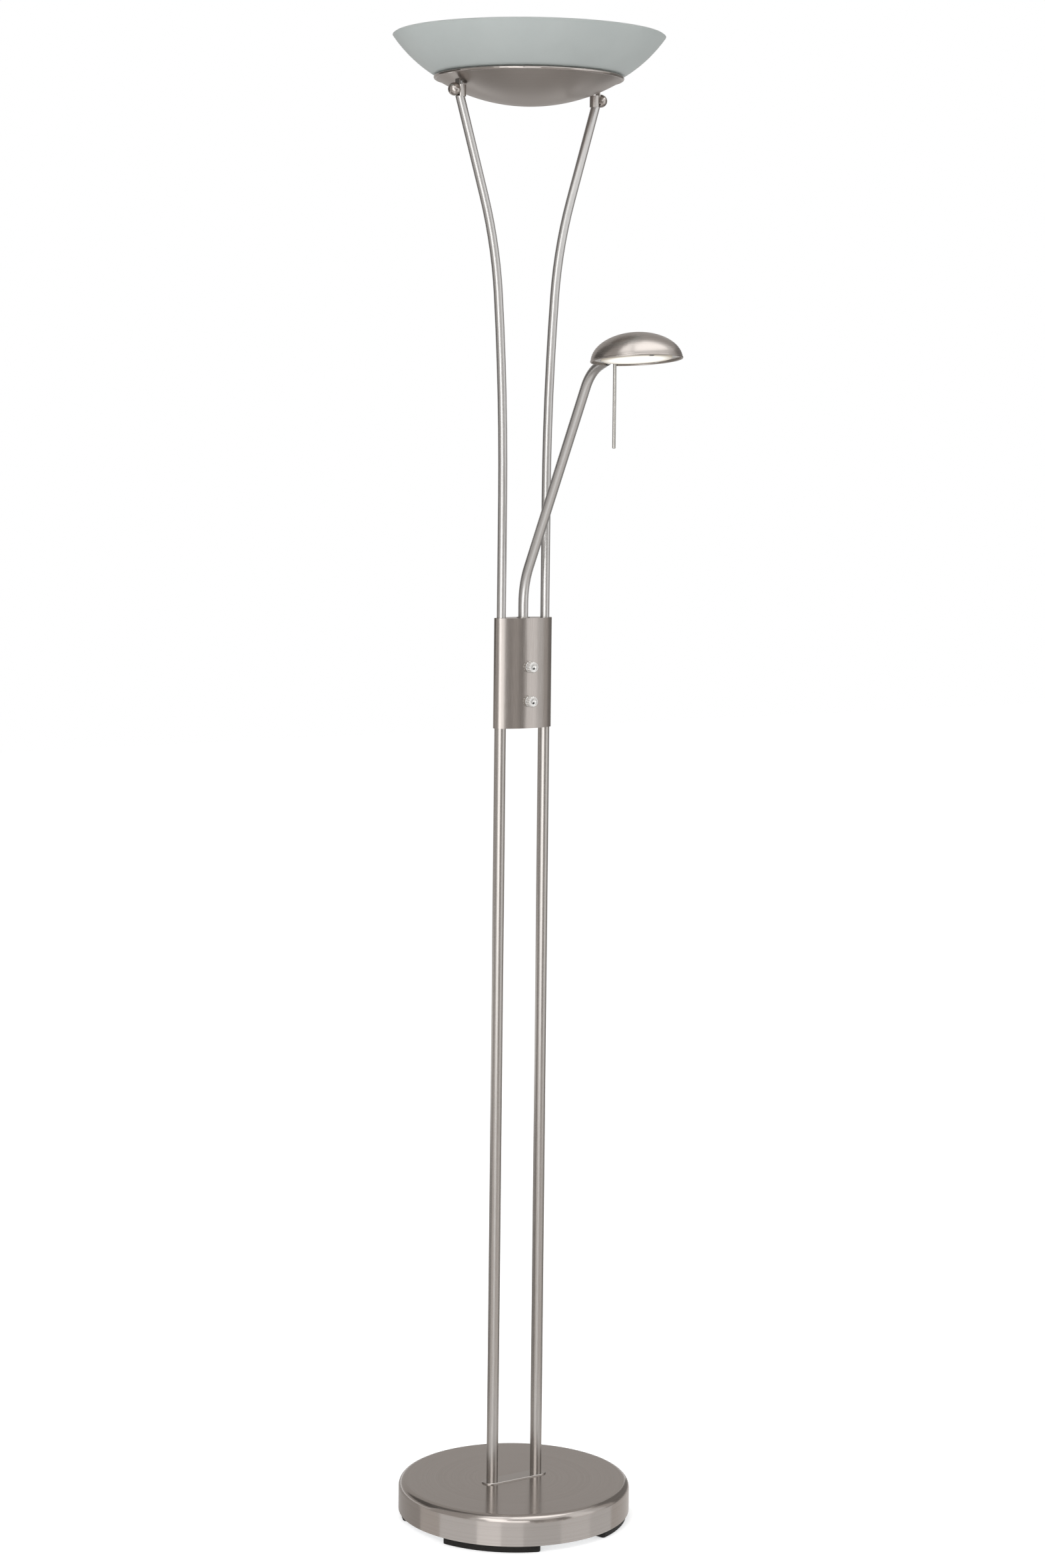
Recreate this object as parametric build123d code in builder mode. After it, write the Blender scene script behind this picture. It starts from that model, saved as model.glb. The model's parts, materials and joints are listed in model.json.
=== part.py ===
"""Torchiere floor lamp with a reading light on a swivelling arm.

Millimetres, +Z up. The origin is on the floor under the centre of the base.
The two poles stand along X, the knobs and the reading arm face -Y.
"""
from math import cos, radians, sin, sqrt, tan
import os

from build123d import *

os.makedirs("parts", exist_ok=True)

# ---------------------------------------------------------------- clearances
SEAT = 0.3            # gap between curved faces, or where a part turns on another
FIT = 0.05            # radial clearance of a shaft or spigot in its own bore
SLIP = 0.2            # radial clearance of a hole around a fixed tube or cable

# ---------------------------------------------------------------- base
BASE_R = 140.5        # outer radius of the round base
COVER_H = 35.5        # height of the pressed steel cover
COVER_FILLET = 8.5
COVER_WALL = 1.5
PAD_H = 8.5           # thickness of the black foot pads
PAD_IN = 3.5          # their outer edge is this far inside the cover's
PAD_WIDTH = 18.0
PAD_ANGLE = 52.0      # length of one arc-shaped pad, in degrees
PAD_COUNT = 4
MIDDLE_PAD_R = 12.0   # round pad under the middle of the floor plate
PAD_CORNER_R = 4.0
PAD_EDGE = 0.8
FLOOR_PLATE_T = 1.5
WEIGHT_IN = 14.5      # the cast iron weight's edge is this far inside the cover's
WEIGHT_T = 14.0
WEIGHT_FILLET = 3.0
FOOT_PLATE_L = 89.0   # stadium-shaped plate under the two poles
FOOT_PLATE_W = 20.0
FOOT_PLATE_T = 1.5
FOOT_PLATE_EDGE = 0.5
BOLT_R = 4.0          # the M8 bolts that hold the poles
BOLT_HEAD_H = 5.3
BOLT_HEAD_FLATS = 13.0
FLANGE_R = 9.0        # flange under the bolt's head
FLANGE_T = 1.6
BOLT_SHORT = 4.0      # the bolt ends this much below the top of its insert
POCKET_SPARE = 1.0    # room around the bolt head in its pocket
INSERT_L = 22.0       # threaded plug in the foot of each pole
SPACER_R = 9.0
SCREW_R = 2.0         # M4 screws
SCREW_HEAD_R = 3.6
SCREW_HEAD_H = 2.2
SCREW_CHAMFER = 0.6
FLOOR_SCREW_IN = 40.5 # the floor plate's screws, inside the cover's edge
FLOOR_SCREW_L = 8.0   # depth of the screw holes in the weight
SCREW_SPARE = 1.0     # a screw ends this far above the bottom of its hole
EARTH_SCREW_Y = 60.0
INLET_R = 3.6         # bore of the cord inlet in the back of the base
INLET_WALL = 1.6
INLET_FLANGE = 2.4
INLET_FLANGE_T = 1.5
INLET_EDGE = 0.6
INLET_Z = 27.0

# ---------------------------------------------------------------- poles
POLE_X = 31.5         # half the distance between the two poles
POLE_R = 7.0
POLE_WALL = 1.2
TUBE_R = 5.5          # the thinner tubes above the switch housing
TUBE_WALL = 1.0
POLE_IN_HOUSING = 48.0
SPIGOT_L = 20.0
COUPLER_L = 26.0
COUPLER_SOCKET = 20.0
COUPLER_LEDGE = 1.0   # the bore is this much under the tube's own bore
GENTLE_START = 145.6  # height above the switch housing where the tubes begin to lean outwards
GENTLE_R = 3270.0
GENTLE_ANGLE = 4.3
FLARE_R = 550.0
FLARE_ANGLE = 12.5
TUBE_END_RUN = 123.36 # straight length of each tube above the flare

# ---------------------------------------------------------------- switch housing
HOUSING_BOTTOM_Z = 961.0
HOUSING_H = 133.4
HOUSING_HALF_DEPTH = 16.5
HOUSING_WALL = 1.3
END_PLATE_T = 2.0
KNOB_BELOW_TOP = 59.0     # the upper knob, below the housing's upper edge
KNOB_ABOVE_BOTTOM = 32.7  # the lower knob, above the housing's lower edge
KNOB_R = 7.0
KNOB_L = 9.0
KNOB_RECESS_R = 5.8
KNOB_RECESS = 2.6
KNOB_EDGE = 0.8
KNOB_DOT_R = 1.0
KNOB_DOT_DEPTH = 0.5
DIMMER_W = 16.0
DIMMER_D = 11.0
DIMMER_H = 18.0
DIMMER_CORNER_R = 1.0
DIMMER_NECK_R = 3.5
DIMMER_NUT_R = 4.6
DIMMER_NUT_T = 1.8
SHAFT_R = 2.0
SHAFT_IN_KNOB = 5.0
POST_R = 3.0
POST_X = 14.0
POST_BELOW_TOP = 45.5     # the upper posts, below the housing's upper edge
POST_ABOVE_BOTTOM = 14.0  # the lower posts, above the housing's lower edge
HOUSING_SCREW_R = 1.5     # M3 screws from behind
HOUSING_SCREW_L = 11.0
HOUSING_SCREW_HEAD_R = 2.6
HOUSING_SCREW_HEAD_H = 1.6
HOUSING_SCREW_EDGE = 0.5

# ---------------------------------------------------------------- reading arm
ARM_R = 6.0
ARM_WALL = 1.0
SOCKET_DEPTH = 36.0   # how far the arm stands in its socket
SOCKET_WALL = 2.0
SOCKET_FLOOR = 3.0
SOCKET_FLANGE = 3.0
SOCKET_FLANGE_T = 2.0
SOCKET_PROUD = 0.8
SOCKET_EDGE = 0.4
ARM_RISE = 18.0       # straight length above the housing
ARM_LOW_R = 90.0
ARM_LEAN = 28.7       # lean of the long straight run, from vertical
ARM_STRAIGHT = 248.0
ARM_HIGH_R = 54.0
ARM_HIGH_TURN = 41.3
ARM_TAIL = 14.5       # straight end that holds the bush
CABLE_R = 1.7

# ---------------------------------------------------------------- head joint
BUSH_L = 12.0
BUSH_FLANGE_T = 1.5
SWIVEL_SHAFT_R = 3.0
SWIVEL_COLLAR_R = 5.5
SWIVEL_COLLAR_T = 2.5
SWIVEL_EDGE = 0.5
SWIVEL_CLIP_R = 4.4
SWIVEL_CLIP_T = 1.2
KNUCKLE_L = 15.5      # from the end of the arm to the tilt pin
KNUCKLE_R = 4.2
KNUCKLE_W = 7.6
NECK_R = 2.8
PIN_R = 1.5
EAR_T = 1.5

# ---------------------------------------------------------------- reading head
HEAD_R = 53.2
HEAD_H = 32.5
HEAD_WALL = 1.2
HEAD_BEAD_R = 1.1
HEAD_TILT = 6.0       # the free end is raised by this much at rest
PIVOT_BACK = 46.0     # tilt pin, behind the middle of the head
PIVOT_UP = 10.8       # tilt pin, above the rim
NOTCH_W = 16.4        # slot in the back of the head for the knuckle
NOTCH_TOP = 19.0
RING_Z = 3.2          # underside of the trim ring, above the rim
RING_T = 0.8
RING_INNER_R = 39.0
RING_NOTCH_BACK = 48.0
LENS_R = 40.8
LENS_T = 2.4
LENS_EDGE = 0.6
CLIP_W = 5.0
CLIP_L = 6.0
CLIP_T = 0.6
CLIP_ANGLES = (-100.0, 20.0, 140.0)
PAN_R = 40.2
PAN_H = 15.0
PAN_TOP_R = 25.0
PAN_WALL = 0.8
STRAP_T = 1.5
STRAP_END = 37.5      # back end of the strap, behind the middle of the head
EAR_ROOT = 6.5        # length of strap that carries each ear
EAR_UPPER = (2.0, 3.4)    # corners of the ear, from the tilt pin
EAR_LOWER = (-3.2, -2.8)
HEAD_STUD_R = 2.0
NUT_R = 3.8
NUT_T = 2.6
THREAD_PROUD = 0.8    # a stud stands this much out of its nut
HOLDER_SIZE = (15.0, 13.0, 13.0)
HOLDER_BACK = 8.0     # front face of the capsule holder, behind the middle
HOLDER_EDGE = 0.8
CAPSULE_R = 5.0
CAPSULE_L = 36.0
LAMP_ROUND = 1.5      # rounded ends of both lamps
CAPSULE_UP = 9.8      # axis of the capsule lamp, above the rim
HANDLE_R = 2.0
HANDLE_ROUND = 1.0
HANDLE_L = 103.0
HANDLE_BACK = 43.8    # handle rod, behind the middle of the head
BRIDGE_L = 5.2

# ---------------------------------------------------------------- uplight
DISH_BELOW_TUBES = 6.3    # the dish's bottom is this much under the tubes' ends
DISH_SPHERE_R = 217.0
DISH_R = 115.5
DISH_BEAD_R = 2.2
DISH_BEAD_RISE = 1.17     # middle of the rolled rim, above the end of the dish's wall
DISH_WALL = 1.2
COLLAR_R = 6.1
COLLAR_L = 14.0
COLLAR_SHIFT = 1.7    # the collar stands this much inside the tube's end
COLLAR_FLAT = 4.2     # distance from the collar's axis to its flat
COLLAR_SPIGOT_R = 3.1
COLLAR_SPIGOT_L = 4.0
COLLAR_BORE_R = 2.3
TAB_W = 9.0
TAB_T = 1.2
TAB_BELOW = 5.0
BALL_R = 8.0
BALL_FLAT = 3.6       # distance from the ball's centre to its flat
STUD_ABOVE_TUBES = 6.5    # the ball screws' axis, above the tubes' ends
STUD_R = 2.0
BOWL_R = 165.5
BOWL_RIM_RISE = 45.9  # outer edge of the bowl's rim, above its knee
BOWL_RIM_ROUND = 1.6
BOWL_T = 4.0
BOWL_SEAT_IN = 16.5   # the bowl's lower edge is this far inside the dish's rim
BOWL_SEAT_GAP = 5.65  # and this far above the dish, on its gasket
BOWL_KNEE_OUT = 2.0   # the knee is this far outside the dish's rim
BOWL_KNEE_RISE = 2.4  # and this far above it
BOWL_KNEE_FILLET = 12.0
BOWL_FLARE_R = 170.0  # the bowl's side bulges outwards from knee to rim with this radius
GASKET_IN = 1.0       # the gasket starts this far outside the glass's edge
GASKET_W = 5.0
BRACKET_L = 150.0
BRACKET_W = 28.0
BRACKET_T = 1.6
SHEET_CORNER_R = 4.0  # corners of the bracket and the guard glass
BRACKET_RISE = 16.3   # underside of the bracket, above the bottom of the dish
UPLIGHT_UP = 18.5     # axis of the linear lamp, above the bracket
LAMP_R = 5.5
LAMP_L = 98.0
LAMP_TIP_R = 3.2
LAMP_TIP_L = 8.0
R7_SIZE = (12.0, 20.0, 26.0)
R7_ROUND = 2.0
R7_INNER_X = 57.0     # the holders' inner faces, which the lamp spans
HOLDER_ENTRY = 17.4   # where the cable enters the holder, above the bracket
CABLE_TURN_R = 30.0
CABLE_BEND_R = 8.0
TROUGH_L = 100.0
TROUGH_TOP_W = 60.0
TROUGH_FLOOR_W = 26.0
TROUGH_H = 29.0
TROUGH_WALL = 0.8
TROUGH_FLANGE = 4.0
GUARD_L = 132.0
GUARD_T = 3.0
GUARD_CLIP_W = 8.0
GUARD_CLIP_T = 0.8
GUARD_CLIP_X = 32.0
GUARD_CLIP_GRIP = 4.0
STUD_X = 20.0         # the two studs that carry the bracket
STUD_SPACER_R = 4.0

# ---------------------------------------------------------------- derived places
cover_top = PAD_H + COVER_H
plate_top = cover_top + FOOT_PLATE_T
floor_plate_top = PAD_H + FLOOR_PLATE_T
weight_top = floor_plate_top + WEIGHT_T
cover_ceiling = cover_top - COVER_WALL
floor_screw_r = BASE_R - FLOOR_SCREW_IN
pad_outer_r = BASE_R - PAD_IN
housing_top = HOUSING_BOTTOM_Z + HOUSING_H
gentle_start = housing_top + GENTLE_START
pole_top = HOUSING_BOTTOM_Z + POLE_IN_HOUSING
pole_bore = POLE_R - POLE_WALL
tube_bore = TUBE_R - TUBE_WALL
tube_bottom = pole_top + COUPLER_L - COUPLER_SOCKET
arm_bore = ARM_R - ARM_WALL
sides = (-1, 1)
pole_points = [(side * POLE_X, 0) for side in sides]


def save(builder, name):
    """Label a finished piece and write it under its node name."""
    builder.part.label = name
    export_step(builder.part, f"parts/{name}.step")
    print(name, len(builder.part.solids()), round(builder.part.volume, 1))


# ================================================================ base
with BuildPart() as base_cover:
    with BuildSketch(Plane.XY.offset(PAD_H)):
        Circle(BASE_R)
    extrude(amount=COVER_H)
    fillet(base_cover.edges().group_by(Axis.Z)[-1], COVER_FILLET)
    offset(openings=base_cover.faces().sort_by(Axis.Z)[0], amount=-COVER_WALL)
    with Locations(*[(x, y, cover_top) for x, y in pole_points]):
        Hole(BOLT_R + SLIP, depth=2 * COVER_WALL)
    with BuildSketch(Plane.XZ.offset(-BASE_R)):
        with Locations((0, INLET_Z)):
            Circle(INLET_R + INLET_WALL)
    extrude(amount=3 * COVER_WALL, both=True, mode=Mode.SUBTRACT)
save(base_cover, "base_cover")

floor_plate_r = BASE_R - COVER_WALL - SEAT
with BuildPart() as base_bottom_plate:
    with BuildSketch(Plane.XY.offset(PAD_H)):
        Circle(floor_plate_r)
        with Locations(*pole_points):
            Circle(FLANGE_R + 2 * POCKET_SPARE, mode=Mode.SUBTRACT)
        with PolarLocations(floor_screw_r, 3, start_angle=30):
            Circle(SCREW_R + SLIP, mode=Mode.SUBTRACT)
    extrude(amount=FLOOR_PLATE_T)
save(base_bottom_plate, "base_bottom_plate")

# the flanged bolt heads sit in pockets under the weight
pocket_h = BOLT_HEAD_H + FLANGE_T + POCKET_SPARE
pocket_top = floor_plate_top + pocket_h
with BuildPart() as base_weight:
    with BuildSketch(Plane.XY.offset(floor_plate_top)):
        Circle(BASE_R - WEIGHT_IN)
        with Locations(*pole_points):
            Circle(BOLT_R + SLIP, mode=Mode.SUBTRACT)
        with Locations((0, EARTH_SCREW_Y)):
            Circle(SCREW_R, mode=Mode.SUBTRACT)
    extrude(amount=WEIGHT_T)
    with BuildSketch(Plane.XY.offset(floor_plate_top)):
        with Locations(*pole_points):
            Circle(FLANGE_R + POCKET_SPARE)
    extrude(amount=pocket_h, mode=Mode.SUBTRACT)
    with BuildSketch(Plane.XY.offset(floor_plate_top)):
        with PolarLocations(floor_screw_r, 3, start_angle=30):
            Circle(SCREW_R)
    extrude(amount=FLOOR_SCREW_L, mode=Mode.SUBTRACT)
    fillet(base_weight.edges().group_by(Axis.Z)[-1].sort_by(SortBy.RADIUS)[-1], WEIGHT_FILLET)
save(base_weight, "base_weight")

# three screws hold the floor plate to the weight, and a fourth is the earth point
with BuildPart() as base_screws:
    with BuildSketch(Plane.XY.offset(PAD_H)):
        with PolarLocations(floor_screw_r, 3, start_angle=30):
            Circle(SCREW_HEAD_R)
    extrude(amount=-SCREW_HEAD_H)
    with BuildSketch(Plane.XY.offset(weight_top)):
        with Locations((0, EARTH_SCREW_Y)):
            Circle(SCREW_HEAD_R)
    extrude(amount=SCREW_HEAD_H)
    chamfer(base_screws.edges().group_by(Axis.Z)[0], SCREW_CHAMFER)
    chamfer(base_screws.edges().group_by(Axis.Z)[-1], SCREW_CHAMFER)
    with BuildSketch(Plane.XY.offset(PAD_H)):
        with PolarLocations(floor_screw_r, 3, start_angle=30):
            Circle(SCREW_R - FIT)
    extrude(amount=FLOOR_PLATE_T + FLOOR_SCREW_L - SCREW_SPARE)
    with BuildSketch(Plane.XY.offset(weight_top)):
        with Locations((0, EARTH_SCREW_Y)):
            Circle(SCREW_R - FIT)
    extrude(amount=SCREW_SPARE - FLOOR_SCREW_L)
save(base_screws, "base_screws")

with BuildPart() as foot_pads:
    with BuildSketch() as pad_sketch:
        for index in range(PAD_COUNT):
            middle = 45 + index * 360 / PAD_COUNT
            with BuildLine():
                first = middle - PAD_ANGLE / 2
                outer = CenterArc((0, 0), pad_outer_r, first, PAD_ANGLE)
                inner = CenterArc((0, 0), pad_outer_r - PAD_WIDTH, first, PAD_ANGLE)
                Line(outer @ 0, inner @ 0)
                Line(outer @ 1, inner @ 1)
            make_face()
    extrude(amount=PAD_H)
    fillet(foot_pads.edges().filter_by(Axis.Z), PAD_CORNER_R)
    with BuildSketch():
        Circle(MIDDLE_PAD_R)
    extrude(amount=PAD_H)
    chamfer(foot_pads.edges().group_by(Axis.Z)[0], PAD_EDGE)
save(foot_pads, "foot_pads")

with BuildPart() as pole_foot_plate:
    with BuildSketch(Plane.XY.offset(cover_top)):
        SlotOverall(FOOT_PLATE_L, FOOT_PLATE_W)
        with Locations(*pole_points):
            Circle(BOLT_R + SLIP, mode=Mode.SUBTRACT)
    extrude(amount=FOOT_PLATE_T)
    chamfer(pole_foot_plate.faces().sort_by(Axis.Z)[-1].outer_wire().edges(), FOOT_PLATE_EDGE)
save(pole_foot_plate, "pole_foot_plate")

with BuildPart() as base_spacers:
    with BuildSketch(Plane.XY.offset(weight_top)):
        with Locations(*pole_points):
            Circle(SPACER_R)
            Circle(BOLT_R + SLIP, mode=Mode.SUBTRACT)
    extrude(amount=cover_ceiling - weight_top)
save(base_spacers, "base_spacers")

flange_low = pocket_top - FLANGE_T
bolt_top = plate_top + INSERT_L - BOLT_SHORT
with BuildPart() as pole_bolts:
    with BuildSketch(Plane.XY.offset(flange_low - BOLT_HEAD_H)):
        with Locations(*pole_points):
            RegularPolygon(BOLT_HEAD_FLATS / 2, 6, major_radius=False)
    extrude(amount=BOLT_HEAD_H)
    with BuildSketch(Plane.XY.offset(flange_low)):
        with Locations(*pole_points):
            Circle(FLANGE_R)
    extrude(amount=FLANGE_T)
    with BuildSketch(Plane.XY.offset(pocket_top)):
        with Locations(*pole_points):
            Circle(BOLT_R - FIT)
    extrude(amount=bolt_top - pocket_top)
save(pole_bolts, "pole_bolts")

with BuildPart() as pole_inserts:
    with BuildSketch(Plane.XY.offset(plate_top)):
        with Locations(*pole_points):
            Circle(pole_bore - FIT)
            Circle(BOLT_R, mode=Mode.SUBTRACT)
    extrude(amount=INSERT_L)
save(pole_inserts, "pole_inserts")

# cord inlet: a flanged rubber bush in the back wall of the cover
inlet_body = INLET_R + INLET_WALL - FIT
with BuildPart() as cord_inlet_grommet:
    with BuildSketch(Plane.YZ):
        with BuildLine():
            inside = BASE_R - COVER_WALL - SEAT
            Polyline(
                (inside - INLET_FLANGE_T, INLET_Z + INLET_R),
                (inside - INLET_FLANGE_T, INLET_Z + inlet_body + INLET_FLANGE / 2),
                (inside, INLET_Z + inlet_body + INLET_FLANGE / 2),
                (inside, INLET_Z + inlet_body),
                (BASE_R + SEAT, INLET_Z + inlet_body),
                (BASE_R + SEAT, INLET_Z + inlet_body + INLET_FLANGE),
                (BASE_R + SEAT + INLET_FLANGE_T, INLET_Z + inlet_body + INLET_FLANGE - INLET_EDGE),
                (BASE_R + SEAT + INLET_FLANGE_T, INLET_Z + INLET_R),
                close=True,
            )
        make_face()
    revolve(axis=Axis((0, 0, INLET_Z), (0, 1, 0)))
save(cord_inlet_grommet, "cord_inlet_grommet")

# ================================================================ lower poles
for side, name in zip(sides, ("lower_pole_left", "lower_pole_right")):
    with BuildPart() as lower_pole:
        with BuildSketch(Plane.XY.offset(plate_top)):
            with Locations((side * POLE_X, 0)):
                Circle(POLE_R)
                Circle(pole_bore, mode=Mode.SUBTRACT)
        extrude(amount=pole_top - plate_top)
    save(lower_pole, name)

with BuildPart() as pole_couplers:
    with BuildSketch(Plane.XY.offset(pole_top - SPIGOT_L)):
        with Locations(*pole_points):
            Circle(pole_bore - FIT)
    extrude(amount=SPIGOT_L)
    with BuildSketch(Plane.XY.offset(pole_top)):
        with Locations(*pole_points):
            Circle(POLE_R)
    extrude(amount=COUPLER_L)
    with BuildSketch(Plane.XY.offset(tube_bottom)):
        with Locations(*pole_points):
            Circle(TUBE_R + FIT)
    extrude(amount=COUPLER_SOCKET, mode=Mode.SUBTRACT)
    with BuildSketch(Plane.XY.offset(pole_top - SPIGOT_L)):
        with Locations(*pole_points):
            Circle(tube_bore - COUPLER_LEDGE)
    extrude(amount=SPIGOT_L + COUPLER_L, mode=Mode.SUBTRACT)
save(pole_couplers, "pole_couplers")

# ================================================================ upper tubes
# centre line of the right tube: straight, a gentle lean, the flare, straight
flare_lean = GENTLE_ANGLE + FLARE_ANGLE
with BuildLine(Plane.XZ) as tube_line:
    rise = Line((POLE_X, tube_bottom), (POLE_X, gentle_start))
    gentle = JernArc(rise @ 1, rise % 1, GENTLE_R, -GENTLE_ANGLE)
    flare = JernArc(gentle @ 1, gentle % 1, FLARE_R, -FLARE_ANGLE)
    PolarLine(flare @ 1, TUBE_END_RUN, direction=flare % 1)
tube_end = tube_line.line @ 1
collar_x = tube_end.X - COLLAR_SHIFT
collar_bottom = tube_end.Z - TUBE_R * tan(radians(flare_lean))
stud_z = tube_end.Z + STUD_ABOVE_TUBES

with BuildPart() as upper_tube_right:
    with BuildSketch(Plane.XY.offset(tube_bottom)):
        with Locations((POLE_X, 0)):
            Circle(TUBE_R)
            Circle(tube_bore, mode=Mode.SUBTRACT)
    sweep(path=tube_line.line)
    split(bisect_by=Plane.XY.offset(collar_bottom), keep=Keep.BOTTOM)
save(upper_tube_right, "upper_tube_right")

with BuildPart() as upper_tube_left:
    add(mirror(upper_tube_right.part, about=Plane.YZ))
save(upper_tube_left, "upper_tube_left")

# ================================================================ switch housing
def oval(half_depth, end_radius):
    """A flat oval: two small end arcs joined by two large tangent arcs."""
    big_r = (POLE_X**2 + half_depth**2 - end_radius**2) / (2 * (half_depth - end_radius))
    centre = big_r - half_depth
    reach = big_r / (big_r - end_radius)
    tip_x = POLE_X * reach
    tip_y = centre * (reach - 1)
    with BuildSketch() as outline:
        with BuildLine():
            ThreePointArc((-tip_x, -tip_y), (0, -half_depth), (tip_x, -tip_y))
            ThreePointArc((tip_x, -tip_y), (POLE_X + end_radius, 0), (tip_x, tip_y))
            ThreePointArc((tip_x, tip_y), (0, half_depth), (-tip_x, tip_y))
            ThreePointArc((-tip_x, tip_y), (-POLE_X - end_radius, 0), (-tip_x, -tip_y))
        make_face()
    return outline.sketch


housing_end_r = POLE_R + SEAT + HOUSING_WALL
inner_half_depth = HOUSING_HALF_DEPTH - HOUSING_WALL
housing_outline = oval(HOUSING_HALF_DEPTH, housing_end_r)
housing_inside = oval(inner_half_depth, housing_end_r - HOUSING_WALL)
plate_outline = oval(inner_half_depth - FIT, housing_end_r - HOUSING_WALL - FIT)
post_heights = (HOUSING_BOTTOM_Z + POST_ABOVE_BOTTOM, housing_top - POST_BELOW_TOP)
post_points = [(side * POST_X, z) for side in sides for z in post_heights]
knob_heights = (housing_top - KNOB_BELOW_TOP, HOUSING_BOTTOM_Z + KNOB_ABOVE_BOTTOM)
knob_points = [(0, z) for z in knob_heights]
face_r = (POLE_X**2 + HOUSING_HALF_DEPTH**2 - housing_end_r**2) / (
    2 * (HOUSING_HALF_DEPTH - housing_end_r)
)


def face_fall(x):
    """How far the housing's broad face falls back at this distance from its middle."""
    return face_r - sqrt(face_r**2 - x**2)


screw_seat = HOUSING_HALF_DEPTH - face_fall(POST_X)

with BuildPart() as switch_housing_front:
    with BuildSketch(Plane.XY.offset(HOUSING_BOTTOM_Z)):
        add(housing_outline)
        add(housing_inside, mode=Mode.SUBTRACT)
    extrude(amount=HOUSING_H)
    split(bisect_by=Plane.XZ, keep=Keep.TOP)
    with BuildSketch(Plane.XZ.offset(inner_half_depth - HOUSING_WALL)):
        with Locations(*knob_points):
            Circle(DIMMER_NECK_R + SLIP)
    extrude(amount=3 * HOUSING_WALL, mode=Mode.SUBTRACT)
save(switch_housing_front, "switch_housing_front")

with BuildPart() as switch_housing_rear:
    with BuildSketch(Plane.XY.offset(HOUSING_BOTTOM_Z)):
        add(housing_outline)
        add(housing_inside, mode=Mode.SUBTRACT)
    extrude(amount=HOUSING_H)
    split(bisect_by=Plane.XZ, keep=Keep.BOTTOM)
    with BuildSketch(Plane.XZ.offset(-HOUSING_HALF_DEPTH)):
        with Locations(*post_points):
            Circle(HOUSING_SCREW_R + SLIP)
    extrude(amount=4 * HOUSING_WALL, mode=Mode.SUBTRACT)
    with BuildSketch(Plane.XZ.offset(-HOUSING_HALF_DEPTH)):
        with Locations(*post_points):
            Circle(HOUSING_SCREW_HEAD_R + SLIP)
    extrude(amount=HOUSING_HALF_DEPTH - screw_seat, mode=Mode.SUBTRACT)
save(switch_housing_rear, "switch_housing_rear")

# four posts stand between the shells, and screws from behind close the housing
with BuildPart() as housing_posts:
    with BuildSketch(Plane.XZ.offset(-HOUSING_HALF_DEPTH)):
        with Locations(*post_points):
            Circle(POST_R)
    extrude(amount=2 * HOUSING_HALF_DEPTH)
    with BuildSketch(Plane.XY.offset(HOUSING_BOTTOM_Z)):
        add(plate_outline)
    extrude(amount=HOUSING_H, mode=Mode.INTERSECT)
    with BuildSketch(Plane.XZ.offset(-screw_seat)):
        with Locations(*post_points):
            Circle(HOUSING_SCREW_R)
    extrude(amount=HOUSING_SCREW_L + SCREW_SPARE, mode=Mode.SUBTRACT)
save(housing_posts, "housing_posts")

with BuildPart() as housing_screws:
    with BuildSketch(Plane.XZ.offset(-screw_seat)):
        with Locations(*post_points):
            Circle(HOUSING_SCREW_HEAD_R)
    extrude(amount=-HOUSING_SCREW_HEAD_H)
    chamfer(housing_screws.edges().group_by(Axis.Y)[-1], HOUSING_SCREW_EDGE)
    with BuildSketch(Plane.XZ.offset(-screw_seat)):
        with Locations(*post_points):
            Circle(HOUSING_SCREW_R - FIT)
    extrude(amount=HOUSING_SCREW_L)
save(housing_screws, "housing_screws")

socket_outer = ARM_R + FIT + SOCKET_WALL
with BuildPart() as housing_end_plates:
    with BuildSketch(Plane.XY.offset(housing_top - END_PLATE_T)):
        add(plate_outline)
        with Locations(*pole_points):
            Circle(TUBE_R + SLIP, mode=Mode.SUBTRACT)
        Circle(socket_outer + FIT, mode=Mode.SUBTRACT)
    extrude(amount=END_PLATE_T)
    with BuildSketch(Plane.XY.offset(HOUSING_BOTTOM_Z)):
        add(plate_outline)
        with Locations(*pole_points):
            Circle(POLE_R + SLIP / 2, mode=Mode.SUBTRACT)
    extrude(amount=END_PLATE_T)
save(housing_end_plates, "housing_end_plates")

# ---------------------------------------------------------------- dimmers and knobs
neck_end = HOUSING_HALF_DEPTH + DIMMER_NUT_T
module_front = inner_half_depth - face_fall(DIMMER_W / 2) - FIT
with BuildPart() as dimmers:
    with BuildSketch(Plane.XZ.offset(module_front - DIMMER_D)):
        with Locations(*knob_points):
            Rectangle(DIMMER_W, DIMMER_H)
    extrude(amount=DIMMER_D)
    fillet(dimmers.edges().filter_by(Axis.Y), DIMMER_CORNER_R)
    with BuildSketch(Plane.XZ.offset(module_front)):
        with Locations(*knob_points):
            Circle(DIMMER_NECK_R)
    extrude(amount=neck_end - module_front)
    with BuildSketch(Plane.XZ.offset(module_front - DIMMER_D / 2)):
        with Locations(*knob_points):
            Circle(SHAFT_R + FIT)
    extrude(amount=DIMMER_D + neck_end, mode=Mode.SUBTRACT)
save(dimmers, "dimmers")

with BuildPart() as dimmer_nuts:
    with BuildSketch(Plane.XZ.offset(HOUSING_HALF_DEPTH)):
        with Locations(*knob_points):
            Circle(DIMMER_NUT_R)
            Circle(DIMMER_NECK_R + FIT, mode=Mode.SUBTRACT)
    extrude(amount=DIMMER_NUT_T)
save(dimmer_nuts, "dimmer_nuts")

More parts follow.
